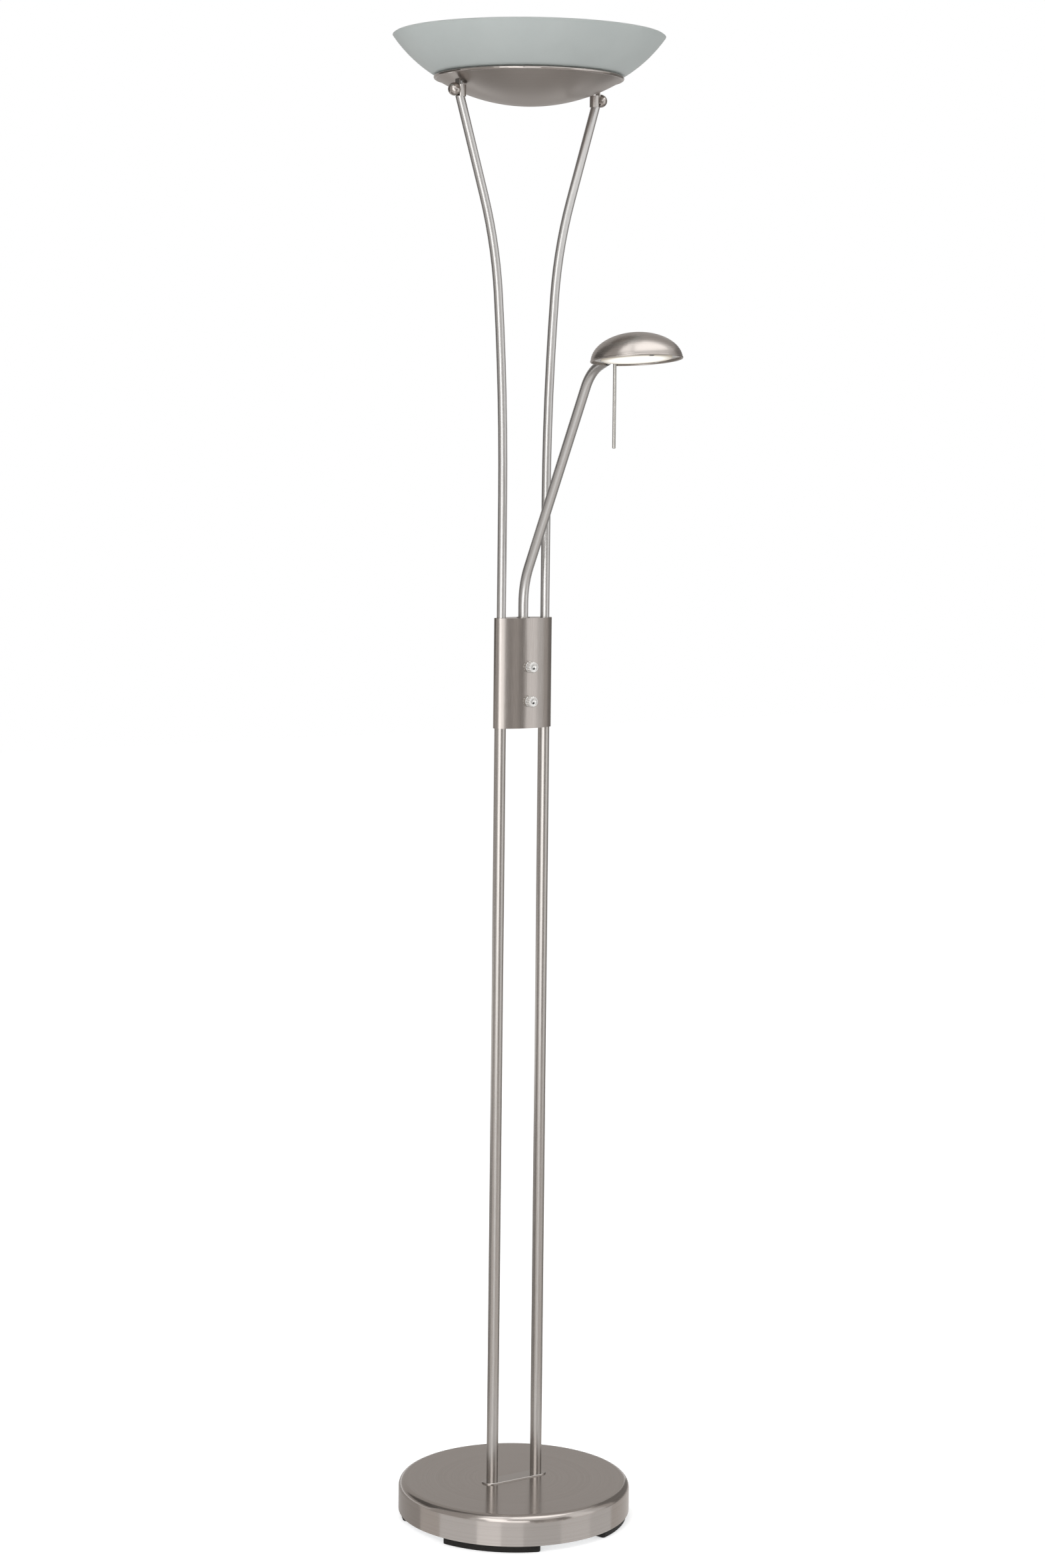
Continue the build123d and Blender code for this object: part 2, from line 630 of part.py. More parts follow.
knob_back = HOUSING_HALF_DEPTH + SEAT
shaft_start = module_front - DIMMER_D / 2 + SEAT
shaft_end = knob_back + KNOB_RECESS + SHAFT_IN_KNOB
for z, name in zip(knob_heights, ("dimmer_shaft_uplight", "dimmer_shaft_reading_light")):
    with BuildPart() as dimmer_shaft:
        with BuildSketch(Plane.XZ.offset(shaft_start)):
            with Locations((0, z)):
                Circle(SHAFT_R)
        extrude(amount=shaft_end - shaft_start)
    save(dimmer_shaft, name)

for z, name in zip(knob_heights, ("knob_uplight", "knob_reading_light")):
    with BuildPart() as knob:
        with BuildSketch(Plane.XZ.offset(knob_back)):
            with Locations((0, z)):
                Circle(KNOB_R)
        extrude(amount=KNOB_L)
        fillet(knob.edges().group_by(Axis.Y)[0], KNOB_EDGE)
        with BuildSketch(Plane.XZ.offset(knob_back)):
            with Locations((0, z)):
                Circle(KNOB_RECESS_R)
        extrude(amount=KNOB_RECESS, mode=Mode.SUBTRACT)
        with BuildSketch(Plane.XZ.offset(knob_back)):
            with Locations((0, z)):
                Circle(SHAFT_R)
        extrude(amount=shaft_end - knob_back, mode=Mode.SUBTRACT)
        with BuildSketch(Plane.XZ.offset(knob_back + KNOB_L)):
            with Locations((0, z + KNOB_R / 2)):
                Circle(KNOB_DOT_R)
        extrude(amount=-KNOB_DOT_DEPTH, mode=Mode.SUBTRACT)
    save(knob, name)

# ================================================================ reading arm
arm_bottom = housing_top - SOCKET_DEPTH
with BuildPart() as arm_socket:
    with BuildSketch(Plane.XY.offset(arm_bottom - SEAT - SOCKET_FLOOR)):
        Circle(socket_outer)
    extrude(amount=SOCKET_FLOOR + SEAT + SOCKET_DEPTH + SOCKET_PROUD)
    chamfer(arm_socket.edges().group_by(Axis.Z)[-1], SOCKET_EDGE)
    with BuildSketch(Plane.XY.offset(housing_top - END_PLATE_T)):
        Circle(socket_outer + SOCKET_FLANGE)
    extrude(amount=-SOCKET_FLANGE_T)
    with BuildSketch(Plane.XY.offset(arm_bottom - SEAT)):
        Circle(ARM_R + FIT)
    extrude(amount=SEAT + SOCKET_DEPTH + SOCKET_PROUD, mode=Mode.SUBTRACT)
    with BuildSketch(Plane.XY.offset(arm_bottom - SEAT - SOCKET_FLOOR)):
        Circle(CABLE_R + SLIP)
    extrude(amount=SOCKET_FLOOR + SEAT, mode=Mode.SUBTRACT)
save(arm_socket, "arm_socket")

# the arm lies in the plane X = 0, and leans towards -Y
arm_plane = Plane(origin=(0, 0, 0), x_dir=(0, -1, 0), z_dir=(-1, 0, 0))
with BuildLine(arm_plane) as arm_line:
    stem = Line((0, arm_bottom), (0, housing_top + ARM_RISE))
    low_bend = JernArc(stem @ 1, stem % 1, ARM_LOW_R, -ARM_LEAN)
    long_run = PolarLine(low_bend @ 1, ARM_STRAIGHT, direction=low_bend % 1)
    high_bend = JernArc(long_run @ 1, long_run % 1, ARM_HIGH_R, -ARM_HIGH_TURN)
    PolarLine(high_bend @ 1, ARM_TAIL, direction=high_bend % 1)
arm_end = arm_line.line @ 1
arm_dir = arm_line.line % 1

with BuildPart() as reading_arm:
    with BuildSketch(Plane.XY.offset(arm_bottom)):
        Circle(ARM_R)
        Circle(arm_bore, mode=Mode.SUBTRACT)
    sweep(path=arm_line.line)
save(reading_arm, "reading_arm")

# planes at the end of the arm: local Z runs on along the arm
end_plane = Plane(origin=arm_end, x_dir=(1, 0, 0), z_dir=arm_dir)
with BuildPart() as arm_bush:
    with BuildSketch(end_plane):
        Circle(ARM_R)
    extrude(amount=BUSH_FLANGE_T)
    with BuildSketch(end_plane):
        Circle(arm_bore - FIT)
    extrude(amount=-BUSH_L)
    with BuildSketch(end_plane.offset(-BUSH_L)):
        Circle(SWIVEL_SHAFT_R + FIT)
    extrude(amount=BUSH_L + BUSH_FLANGE_T, mode=Mode.SUBTRACT)
save(arm_bush, "arm_bush")

clip_start = -BUSH_L - SEAT - SWIVEL_CLIP_T
collar_start = BUSH_FLANGE_T + SEAT
pivot_plane = end_plane.offset(KNUCKLE_L)
pin_axis_plane = Plane(origin=pivot_plane.origin, x_dir=(0, 1, 0), z_dir=(1, 0, 0))
with BuildPart() as swivel_knuckle:
    with BuildSketch(end_plane.offset(clip_start)):
        Circle(SWIVEL_SHAFT_R)
    extrude(amount=collar_start - clip_start)
    with BuildSketch(end_plane.offset(collar_start)):
        Circle(SWIVEL_COLLAR_R)
    extrude(amount=SWIVEL_COLLAR_T)
    chamfer(swivel_knuckle.edges().filter_by(GeomType.CIRCLE).sort_by(SortBy.RADIUS)[-2:], SWIVEL_EDGE)
    with BuildSketch(end_plane.offset(collar_start + SWIVEL_COLLAR_T)):
        Circle(NECK_R)
    extrude(amount=KNUCKLE_L - collar_start - SWIVEL_COLLAR_T)
    with BuildSketch(pin_axis_plane.offset(-KNUCKLE_W / 2)):
        Circle(KNUCKLE_R)
    extrude(amount=KNUCKLE_W)
    with BuildSketch(pin_axis_plane.offset(-KNUCKLE_W / 2)):
        Circle(PIN_R + FIT)
    extrude(amount=KNUCKLE_W, mode=Mode.SUBTRACT)
save(swivel_knuckle, "swivel_knuckle")

with BuildPart() as swivel_clip:
    with BuildSketch(end_plane.offset(clip_start)):
        Circle(SWIVEL_CLIP_R)
        Circle(SWIVEL_SHAFT_R, mode=Mode.SUBTRACT)
    extrude(amount=SWIVEL_CLIP_T)
save(swivel_clip, "swivel_clip")

# the reading light's cable, from the socket up the middle of the arm
with BuildLine(arm_plane) as arm_cable_line:
    cable_stem = Line((0, arm_bottom), (0, housing_top + ARM_RISE))
    cable_low = JernArc(cable_stem @ 1, cable_stem % 1, ARM_LOW_R, -ARM_LEAN)
    PolarLine(cable_low @ 1, ARM_STRAIGHT, direction=cable_low % 1)
with BuildPart() as arm_cable:
    with BuildSketch(Plane.XY.offset(arm_bottom)):
        Circle(CABLE_R)
    sweep(path=arm_cable_line.line)
save(arm_cable, "arm_cable")

# ================================================================ reading head
# local frame: origin in the middle of the rim, local Y to the back, local Z up
tilt = radians(HEAD_TILT)
back_dir = Vector(0, cos(tilt), -sin(tilt))
up_dir = Vector(0, sin(tilt), cos(tilt))
head_origin = pivot_plane.origin - back_dir * PIVOT_BACK - up_dir * PIVOT_UP
head_plane = Plane(origin=head_origin, x_dir=(1, 0, 0), z_dir=up_dir)
profile_plane = Plane(origin=head_origin, x_dir=(1, 0, 0), z_dir=back_dir * -1)
side_plane = Plane(origin=head_origin, x_dir=back_dir, z_dir=(1, 0, 0))
head_axis = Axis(head_origin, up_dir)
inner_head_r = HEAD_R - HEAD_WALL
inner_head_h = HEAD_H - HEAD_WALL

with BuildPart() as head_shell:
    with BuildSketch(profile_plane):
        with BuildLine():
            outside = EllipticalCenterArc((0, 0), HEAD_R, HEAD_H, arc_size=90)
            inside_arc = EllipticalCenterArc((0, 0), inner_head_r, inner_head_h, arc_size=90)
            Line(outside @ 0, inside_arc @ 0)
            Line(outside @ 1, inside_arc @ 1)
        make_face()
        with Locations((HEAD_R - HEAD_WALL / 2, HEAD_BEAD_R)):
            Circle(HEAD_BEAD_R)
    revolve(axis=head_axis)
    with BuildSketch(profile_plane.offset(-HEAD_R - HEAD_BEAD_R)):
        with BuildLine():
            half = NOTCH_W / 2
            jamb = Line((-half, -HEAD_WALL), (-half, NOTCH_TOP - half))
            arch = ThreePointArc((-half, NOTCH_TOP - half), (0, NOTCH_TOP), (half, NOTCH_TOP - half))
            Line(arch @ 1, (half, -HEAD_WALL))
            Line((half, -HEAD_WALL), jamb @ 0)
        make_face()
    extrude(amount=HEAD_R - LENS_R, mode=Mode.SUBTRACT)
save(head_shell, "head_shell")

ring_top = RING_Z + RING_T
ring_r = inner_head_r * sqrt(1 - (ring_top / inner_head_h) ** 2) - FIT
bridge_top = PIVOT_UP - KNUCKLE_R - SEAT
handle_top = head_origin + back_dir * HANDLE_BACK + up_dir * bridge_top
handle_plane = Plane.XY.offset(handle_top.Z)

with BuildPart() as head_ring:
    with BuildSketch(head_plane.offset(RING_Z)):
        Circle(ring_r)
        Circle(RING_INNER_R, mode=Mode.SUBTRACT)
        with Locations((0, RING_NOTCH_BACK + HEAD_R / 2)):
            Rectangle(NOTCH_W, HEAD_R, mode=Mode.SUBTRACT)
    extrude(amount=RING_T)
    with BuildSketch(handle_plane):
        with Locations((0, handle_top.Y)):
            Circle(HANDLE_R + SLIP)
    extrude(amount=-2 * HEAD_H, mode=Mode.SUBTRACT)
save(head_ring, "head_ring")

with BuildPart() as head_lens:
    with BuildSketch(head_plane.offset(RING_Z - LENS_T)):
        Circle(LENS_R)
    extrude(amount=LENS_T)
    fillet(head_lens.edges(), LENS_EDGE)
save(head_lens, "head_lens")

with BuildPart() as lens_clips:
    for angle in CLIP_ANGLES:
        turn = radians(angle)
        out_dir = head_plane.x_dir * cos(turn) + back_dir * sin(turn)
        clip_plane = Plane(origin=head_origin, x_dir=out_dir, z_dir=out_dir.cross(up_dir))
        low = RING_Z - LENS_T - CLIP_T
        edge = LENS_R + SEAT
        with BuildSketch(clip_plane.offset(-CLIP_W / 2)):
            with BuildLine():
                Polyline(
                    (edge + CLIP_L / 2, RING_Z),
                    (edge + CLIP_L / 2, RING_Z - CLIP_T),
                    (edge + CLIP_T, RING_Z - CLIP_T),
                    (edge + CLIP_T, low),
                    (edge - CLIP_L / 2, low),
                    (edge - CLIP_L / 2, low + CLIP_T),
                    (edge, low + CLIP_T),
                    (edge, RING_Z),
                    close=True,
                )
            make_face()
        extrude(amount=CLIP_W)
save(lens_clips, "lens_clips")

pan_top = ring_top + PAN_H
with BuildPart() as head_reflector:
    with BuildSketch(profile_plane):
        with BuildLine():
            Polyline(
                (PAN_R, ring_top),
                (PAN_TOP_R, pan_top),
                (0, pan_top),
                (0, pan_top - PAN_WALL),
                (PAN_TOP_R - PAN_WALL / 2, pan_top - PAN_WALL),
                (PAN_R - PAN_WALL, ring_top),
                close=True,
            )
        make_face()
    revolve(axis=head_axis)
    with BuildSketch(head_plane.offset(pan_top)):
        Circle(HEAD_STUD_R + SLIP)
    extrude(amount=-2 * PAN_WALL, mode=Mode.SUBTRACT)
save(head_reflector, "head_reflector")

# the bracket: a strap over the reflector and two ears down to the tilt pin
ear_inside = KNUCKLE_W / 2 + SEAT
strap_w = 2 * (ear_inside + EAR_T)
with BuildPart() as head_bracket:
    for side in sides:
        ear_start = ear_inside if side > 0 else -ear_inside - EAR_T
        with BuildSketch(side_plane.offset(ear_start)):
            with Locations((PIVOT_BACK, PIVOT_UP)):
                Circle(KNUCKLE_R)
            with BuildLine():
                Polyline(
                    (STRAP_END - EAR_ROOT, pan_top),
                    (STRAP_END, pan_top + STRAP_T),
                    (PIVOT_BACK + EAR_UPPER[0], PIVOT_UP + EAR_UPPER[1]),
                    (PIVOT_BACK + EAR_LOWER[0], PIVOT_UP + EAR_LOWER[1]),
                    close=True,
                )
            make_face()
            with Locations((HANDLE_BACK, (ring_top + PIVOT_UP) / 2)):
                Rectangle(BRIDGE_L, PIVOT_UP - ring_top)
            with Locations((PIVOT_BACK, PIVOT_UP)):
                Circle(PIN_R + FIT / 2, mode=Mode.SUBTRACT)
        extrude(amount=EAR_T)
    with BuildSketch(head_plane.offset(pan_top)):
        with Locations((0, (STRAP_END - strap_w) / 2)):
            Rectangle(strap_w, STRAP_END + strap_w)
        Circle(HEAD_STUD_R + SLIP, mode=Mode.SUBTRACT)
    extrude(amount=STRAP_T)
save(head_bracket, "head_bracket")

with BuildPart() as handle_bridge:
    with BuildSketch(head_plane.offset(ring_top)):
        with Locations((0, HANDLE_BACK)):
            Rectangle(2 * ear_inside, BRIDGE_L)
    extrude(amount=bridge_top - ring_top)
    with BuildSketch(handle_plane.offset(HEAD_H)):
        with Locations((0, handle_top.Y)):
            Circle(HANDLE_R + FIT)
    extrude(amount=-2 * HEAD_H, mode=Mode.SUBTRACT)
save(handle_bridge, "handle_bridge")

with BuildPart() as handle_rod:
    with BuildSketch(handle_plane.offset(-SEAT)):
        with Locations((0, handle_top.Y)):
            Circle(HANDLE_R)
    extrude(amount=-HANDLE_L)
    fillet(handle_rod.edges().group_by(Axis.Z)[0], HANDLE_ROUND)
save(handle_rod, "handle_rod")

with BuildPart() as tilt_pin:
    with BuildSketch(pin_axis_plane.offset(-strap_w / 2)):
        Circle(PIN_R)
    extrude(amount=strap_w)
save(tilt_pin, "tilt_pin")

with BuildPart() as head_stud:
    with BuildSketch(head_plane.offset(pan_top + STRAP_T)):
        Circle(2 * HEAD_STUD_R)
    extrude(amount=inner_head_h - pan_top - STRAP_T - SEAT)
    with BuildSketch(head_plane.offset(pan_top + STRAP_T)):
        Circle(HEAD_STUD_R)
    extrude(amount=-STRAP_T - PAN_WALL - NUT_T - THREAD_PROUD)
save(head_stud, "head_stud")

with BuildPart() as head_nut:
    with BuildSketch(head_plane.offset(pan_top - PAN_WALL)):
        RegularPolygon(NUT_R, 6)
        Circle(HEAD_STUD_R + FIT, mode=Mode.SUBTRACT)
    extrude(amount=-NUT_T)
save(head_nut, "head_nut")

with BuildPart() as capsule_holder:
    with BuildSketch(head_plane.offset(pan_top - PAN_WALL)):
        with Locations((0, HOLDER_BACK + HOLDER_SIZE[1] / 2)):
            Rectangle(HOLDER_SIZE[0], HOLDER_SIZE[1])
    extrude(amount=-HOLDER_SIZE[2])
    fillet(capsule_holder.edges(), HOLDER_EDGE)
save(capsule_holder, "capsule_holder")

capsule_plane = Plane(
    origin=head_origin + back_dir * HOLDER_BACK + up_dir * CAPSULE_UP,
    x_dir=(1, 0, 0),
    z_dir=back_dir * -1,
)
with BuildPart() as capsule_lamp:
    with BuildSketch(capsule_plane):
        Circle(CAPSULE_R)
    extrude(amount=CAPSULE_L)
    fillet(capsule_lamp.edges(), LAMP_ROUND)
save(capsule_lamp, "capsule_lamp")

# ================================================================ uplight dish
dish_bottom_z = tube_end.Z - DISH_BELOW_TUBES
dish_centre_z = dish_bottom_z + DISH_SPHERE_R
dish_inner_sphere = DISH_SPHERE_R - DISH_WALL
bead_x = DISH_R - DISH_BEAD_R
wall_end_z = dish_centre_z - sqrt(DISH_SPHERE_R**2 - bead_x**2)
bead_z = wall_end_z + DISH_BEAD_RISE
dish_rim_z = bead_z + DISH_BEAD_R


def dish_inside(radius):
    """Height of the dish's upper surface at this distance from the axis."""
    return dish_centre_z - sqrt(dish_inner_sphere**2 - radius**2)


with BuildPart() as uplight_dish:
    with BuildSketch(Plane.XZ):
        with BuildLine():
            under = RadiusArc((0, dish_bottom_z), (bead_x, wall_end_z), -DISH_SPHERE_R)
            over_start = (0, dish_bottom_z + DISH_WALL)
            over = RadiusArc(over_start, (bead_x, dish_inside(bead_x)), -dish_inner_sphere)
            Line(under @ 0, over @ 0)
            Line(under @ 1, over @ 1)
        make_face()
        with Locations((bead_x, bead_z)):
            Circle(DISH_BEAD_R)
    revolve(axis=Axis.Z)
    with BuildSketch(Plane.XY.offset(dish_rim_z)):
        with Locations((-collar_x, 0)):
            Circle(CABLE_R + 2 * SLIP)
    extrude(amount=dish_bottom_z - dish_rim_z, mode=Mode.SUBTRACT)
save(uplight_dish, "uplight_dish")

# ---------------------------------------------------------------- tube ends and balls
flat_x = collar_x + COLLAR_FLAT
with BuildPart() as tube_end_collars:
    for side in sides:
        with BuildSketch(Plane.XY.offset(collar_bottom)):
            with Locations((side * collar_x, 0)):
                Circle(COLLAR_R)
        extrude(amount=COLLAR_L)
    with BuildSketch(Plane.XY.offset(collar_bottom)):
        Rectangle(2 * flat_x, 4 * COLLAR_R)
    extrude(amount=COLLAR_L, mode=Mode.INTERSECT)
    for side in sides:
        with BuildSketch(Plane.XY.offset(collar_bottom - COLLAR_SPIGOT_L)):
            with Locations((side * collar_x, 0)):
                Circle(COLLAR_SPIGOT_R)
        extrude(amount=COLLAR_SPIGOT_L)
        with BuildSketch(Plane.XY.offset(collar_bottom - COLLAR_SPIGOT_L)):
            with Locations((side * collar_x, 0)):
                Circle(COLLAR_BORE_R)
        extrude(amount=COLLAR_L + COLLAR_SPIGOT_L, mode=Mode.SUBTRACT)
        with BuildSketch(Plane.YZ.offset(side * flat_x)):
            with Locations((0, stud_z)):
                Circle(STUD_R)
        extrude(amount=-side * COLLAR_FLAT, mode=Mode.SUBTRACT)
save(tube_end_collars, "tube_end_collars")

ball_x = flat_x + TAB_T + BALL_FLAT
with BuildPart() as ball_screws:
    with Locations(*[(side * ball_x, 0, stud_z) for side in sides]):
        Sphere(BALL_R)
    with BuildSketch(Plane.YZ):
        with Locations((0, stud_z)):
            Circle(2 * BALL_R)
    extrude(amount=flat_x + TAB_T, both=True, mode=Mode.SUBTRACT)
    for side in sides:
        with BuildSketch(Plane.YZ.offset(side * (collar_x + COLLAR_BORE_R + FIT))):
            with Locations((0, stud_z)):
                Circle(STUD_R - FIT)
        extrude(amount=side * (ball_x - collar_x - COLLAR_BORE_R))
save(ball_screws, "ball_screws")

with BuildPart() as dish_tabs:
    for side in sides:
        with BuildSketch(Plane.YZ.offset(side * flat_x)):
            with Locations((0, (stud_z - TAB_BELOW + dish_rim_z) / 2)):
                Rectangle(TAB_W, dish_rim_z - stud_z + TAB_BELOW)
        extrude(amount=side * TAB_T)
    fillet(dish_tabs.edges().filter_by(Axis.X).group_by(Axis.Z)[0], TAB_W / 3)
    with BuildSketch(Plane.YZ):
        with Locations((0, stud_z)):
            Circle(STUD_R + FIT)
    extrude(amount=2 * flat_x, both=True, mode=Mode.SUBTRACT)
    with Locations((0, 0, dish_centre_z)):
        Sphere(DISH_SPHERE_R, mode=Mode.SUBTRACT)
save(dish_tabs, "dish_tabs")

# the uplight's cable: up the left tube, through the collar, to the left lamp holder
turn_x = CABLE_TURN_R * (1 - cos(radians(flare_lean)))
line_x = collar_x - turn_x
line_z = tube_end.Z - (tube_end.X - line_x) / tan(radians(flare_lean))
bracket_z = dish_bottom_z + BRACKET_RISE
bracket_top = bracket_z + BRACKET_T
entry_z = bracket_top + HOLDER_ENTRY
with BuildLine(Plane.XZ) as cable_line:
    cable_rise = Line((POLE_X, tube_bottom), (POLE_X, gentle_start))
    cable_gentle = JernArc(cable_rise @ 1, cable_rise % 1, GENTLE_R, -GENTLE_ANGLE)
    cable_flare = JernArc(cable_gentle @ 1, cable_gentle % 1, FLARE_R, -FLARE_ANGLE)
    cable_run = Line(cable_flare @ 1, (line_x, line_z))
    cable_turn = JernArc(cable_run @ 1, cable_run % 1, CABLE_TURN_R, flare_lean)
    cable_up = Line(cable_turn @ 1, (collar_x, entry_z - CABLE_BEND_R))
    cable_bend = JernArc(cable_up @ 1, cable_up % 1, CABLE_BEND_R, 90)
    Line(cable_bend @ 1, (R7_INNER_X + R7_SIZE[0], entry_z))
with BuildPart() as uplight_cable_right:
    with BuildSketch(Plane.XY.offset(tube_bottom)):
        with Locations((POLE_X, 0)):
            Circle(CABLE_R)
    sweep(path=cable_line.line)
with BuildPart() as uplight_cable:
    add(mirror(uplight_cable_right.part, about=Plane.YZ))
save(uplight_cable, "uplight_cable")

# ---------------------------------------------------------------- glass bowl
seat_r = DISH_R - BOWL_SEAT_IN
seat_z = dish_inside(seat_r) + BOWL_SEAT_GAP
knee_r = DISH_R + BOWL_KNEE_OUT
knee_z = dish_rim_z + BOWL_KNEE_RISE
rim_z = knee_z + BOWL_RIM_RISE
seat_slope = (knee_z - seat_z) / (knee_r - seat_r)


def glass_under(radius):
    """Height of the bowl's lower surface over its seat."""
    return seat_z + (radius - seat_r) * seat_slope


with BuildPart() as glass_bowl:
    with BuildSketch(Plane.XZ):
        with BuildLine() as bowl_line:
            Line((seat_r, seat_z), (knee_r, knee_z))
            RadiusArc((knee_r, knee_z), (BOWL_R, rim_z), -BOWL_FLARE_R)
            fillet(bowl_line.vertices().sort_by_distance((knee_r, knee_z))[0], BOWL_KNEE_FILLET)
            offset(amount=BOWL_T, side=Side.LEFT)
        make_face()
    revolve(axis=Axis.Z)
    rim_edges = glass_bowl.edges().group_by(Axis.Z)[-1] + glass_bowl.edges().group_by(Axis.Z)[-2]
    fillet(rim_edges, BOWL_RIM_ROUND)
save(glass_bowl, "glass_bowl")

gasket_r = seat_r + GASKET_IN
with BuildPart() as bowl_gasket:
    with BuildSketch(Plane.XZ):
        with BuildLine():
            Polyline(
                (gasket_r, dish_inside(gasket_r) + FIT),
                (gasket_r + GASKET_W, dish_inside(gasket_r + GASKET_W) + FIT),
                (gasket_r + GASKET_W, glass_under(gasket_r + GASKET_W) - FIT),
                (gasket_r, glass_under(gasket_r) - FIT),
                close=True,
            )
        make_face()
    revolve(axis=Axis.Z)
save(bowl_gasket, "bowl_gasket")

# ---------------------------------------------------------------- lamp and reflector
trough_top = bracket_top + TROUGH_H
lamp_z = bracket_top + UPLIGHT_UP
nut_seat = bracket_top + TROUGH_WALL
stud_points = [(side * STUD_X, 0) for side in sides]

with BuildPart() as lamp_bracket:
    with BuildSketch(Plane.XY.offset(bracket_z)):
        RectangleRounded(BRACKET_L, BRACKET_W, SHEET_CORNER_R)
        with Locations(*stud_points):
            Circle(STUD_R + SLIP, mode=Mode.SUBTRACT)
    extrude(amount=BRACKET_T)
save(lamp_bracket, "lamp_bracket")

with BuildPart() as bracket_studs:
    with BuildSketch(Plane.XY.offset(dish_bottom_z)):
        with Locations(*stud_points):
            Circle(STUD_SPACER_R)
    extrude(amount=bracket_z - dish_bottom_z)
    with Locations((0, 0, dish_centre_z)):
        Sphere(dish_inner_sphere, mode=Mode.INTERSECT)
    with BuildSketch(Plane.XY.offset(bracket_z)):
        with Locations(*stud_points):
            Circle(STUD_R - FIT)
    extrude(amount=nut_seat + NUT_T + THREAD_PROUD - bracket_z)
save(bracket_studs, "bracket_studs")

with BuildPart() as bracket_nuts:
    with BuildSketch(Plane.XY.offset(nut_seat)):
        with Locations(*stud_points):
            RegularPolygon(NUT_R, 6)
            Circle(STUD_R, mode=Mode.SUBTRACT)
    extrude(amount=NUT_T)
save(bracket_nuts, "bracket_nuts")

wall_lean = (TROUGH_TOP_W - TROUGH_FLOOR_W) / 2
half_floor = TROUGH_FLOOR_W / 2
half_top = TROUGH_TOP_W / 2
with BuildPart() as uplight_reflector:
    with BuildSketch(Plane.YZ.offset(-TROUGH_L / 2)):
        with BuildLine():
            Polyline(
                (-half_top - TROUGH_FLANGE, trough_top),
                (-half_top - TROUGH_FLANGE, trough_top - TROUGH_WALL),
                (-half_top, trough_top - TROUGH_WALL),
                (-half_floor, bracket_top),
                (half_floor, bracket_top),
                (half_top, trough_top - TROUGH_WALL),
                (half_top + TROUGH_FLANGE, trough_top - TROUGH_WALL),
                (half_top + TROUGH_FLANGE, trough_top),
                (half_top - TROUGH_WALL, trough_top),
                (half_floor - TROUGH_WALL, nut_seat),
                (-half_floor + TROUGH_WALL, nut_seat),
                (-half_top + TROUGH_WALL, trough_top),
                close=True,
            )
        make_face()
    extrude(amount=TROUGH_L)
    with BuildSketch(Plane.XY.offset(bracket_top)):
        with Locations(*stud_points):
            Circle(STUD_R + SLIP)
    extrude(amount=TROUGH_WALL, mode=Mode.SUBTRACT)
save(uplight_reflector, "uplight_reflector")

with BuildPart() as linear_holders:
    for side in sides:
        with BuildSketch(Plane.XY.offset(bracket_top)):
            with Locations((side * (R7_INNER_X + R7_SIZE[0] / 2), 0)):
                Rectangle(R7_SIZE[0], R7_SIZE[1])
        extrude(amount=R7_SIZE[2])
    fillet(linear_holders.edges().group_by(Axis.Z)[-1], R7_ROUND)
    with BuildSketch(Plane.YZ):
        with Locations((0, lamp_z)):
            Circle(LAMP_TIP_R + FIT)
    extrude(amount=R7_INNER_X + LAMP_TIP_L / 2, both=True, mode=Mode.SUBTRACT)
save(linear_holders, "linear_holders")

with BuildPart() as linear_lamp:
    with BuildSketch(Plane.YZ.offset(-LAMP_L / 2)):
        with Locations((0, lamp_z)):
            Circle(LAMP_R)
    extrude(amount=LAMP_L)
    fillet(linear_lamp.edges(), LAMP_ROUND)
    with BuildSketch(Plane.YZ):
        with Locations((0, lamp_z)):
            Circle(LAMP_TIP_R)
    extrude(amount=R7_INNER_X + LAMP_TIP_L / 2 - FIT, both=True)
save(linear_lamp, "linear_lamp")

guard_w = TROUGH_TOP_W + 2 * TROUGH_FLANGE
with BuildPart() as guard_glass:
    with BuildSketch(Plane.XY.offset(trough_top)):
        RectangleRounded(GUARD_L, guard_w, SHEET_CORNER_R)
    extrude(amount=GUARD_T)
save(guard_glass, "guard_glass")

# four spring clips hold the guard glass on the reflector's flanges
clip_low = trough_top - TROUGH_WALL - GUARD_CLIP_T
clip_high = trough_top + GUARD_T + GUARD_CLIP_T
with BuildPart() as guard_clips:
    for clip_x in (-GUARD_CLIP_X, GUARD_CLIP_X):
        for side in sides:
            edge_y = side * (guard_w / 2 + FIT)
            grip_y = edge_y - side * GUARD_CLIP_GRIP
            wall_y = edge_y + side * GUARD_CLIP_T
            with BuildSketch(Plane.YZ.offset(clip_x - GUARD_CLIP_W / 2)):
                with BuildLine():
                    Polyline(
                        (grip_y, clip_low),
                        (wall_y, clip_low),
                        (wall_y, clip_high),
                        (grip_y, clip_high),
                        (grip_y, clip_high - GUARD_CLIP_T),
                        (edge_y, clip_high - GUARD_CLIP_T),
                        (edge_y, clip_low + GUARD_CLIP_T),
                        (grip_y, clip_low + GUARD_CLIP_T),
                        close=True,
                    )
                make_face()
            extrude(amount=GUARD_CLIP_W)
save(guard_clips, "guard_clips")
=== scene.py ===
import json
from math import cos, pi, radians, sin

import bpy
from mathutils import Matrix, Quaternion, Vector


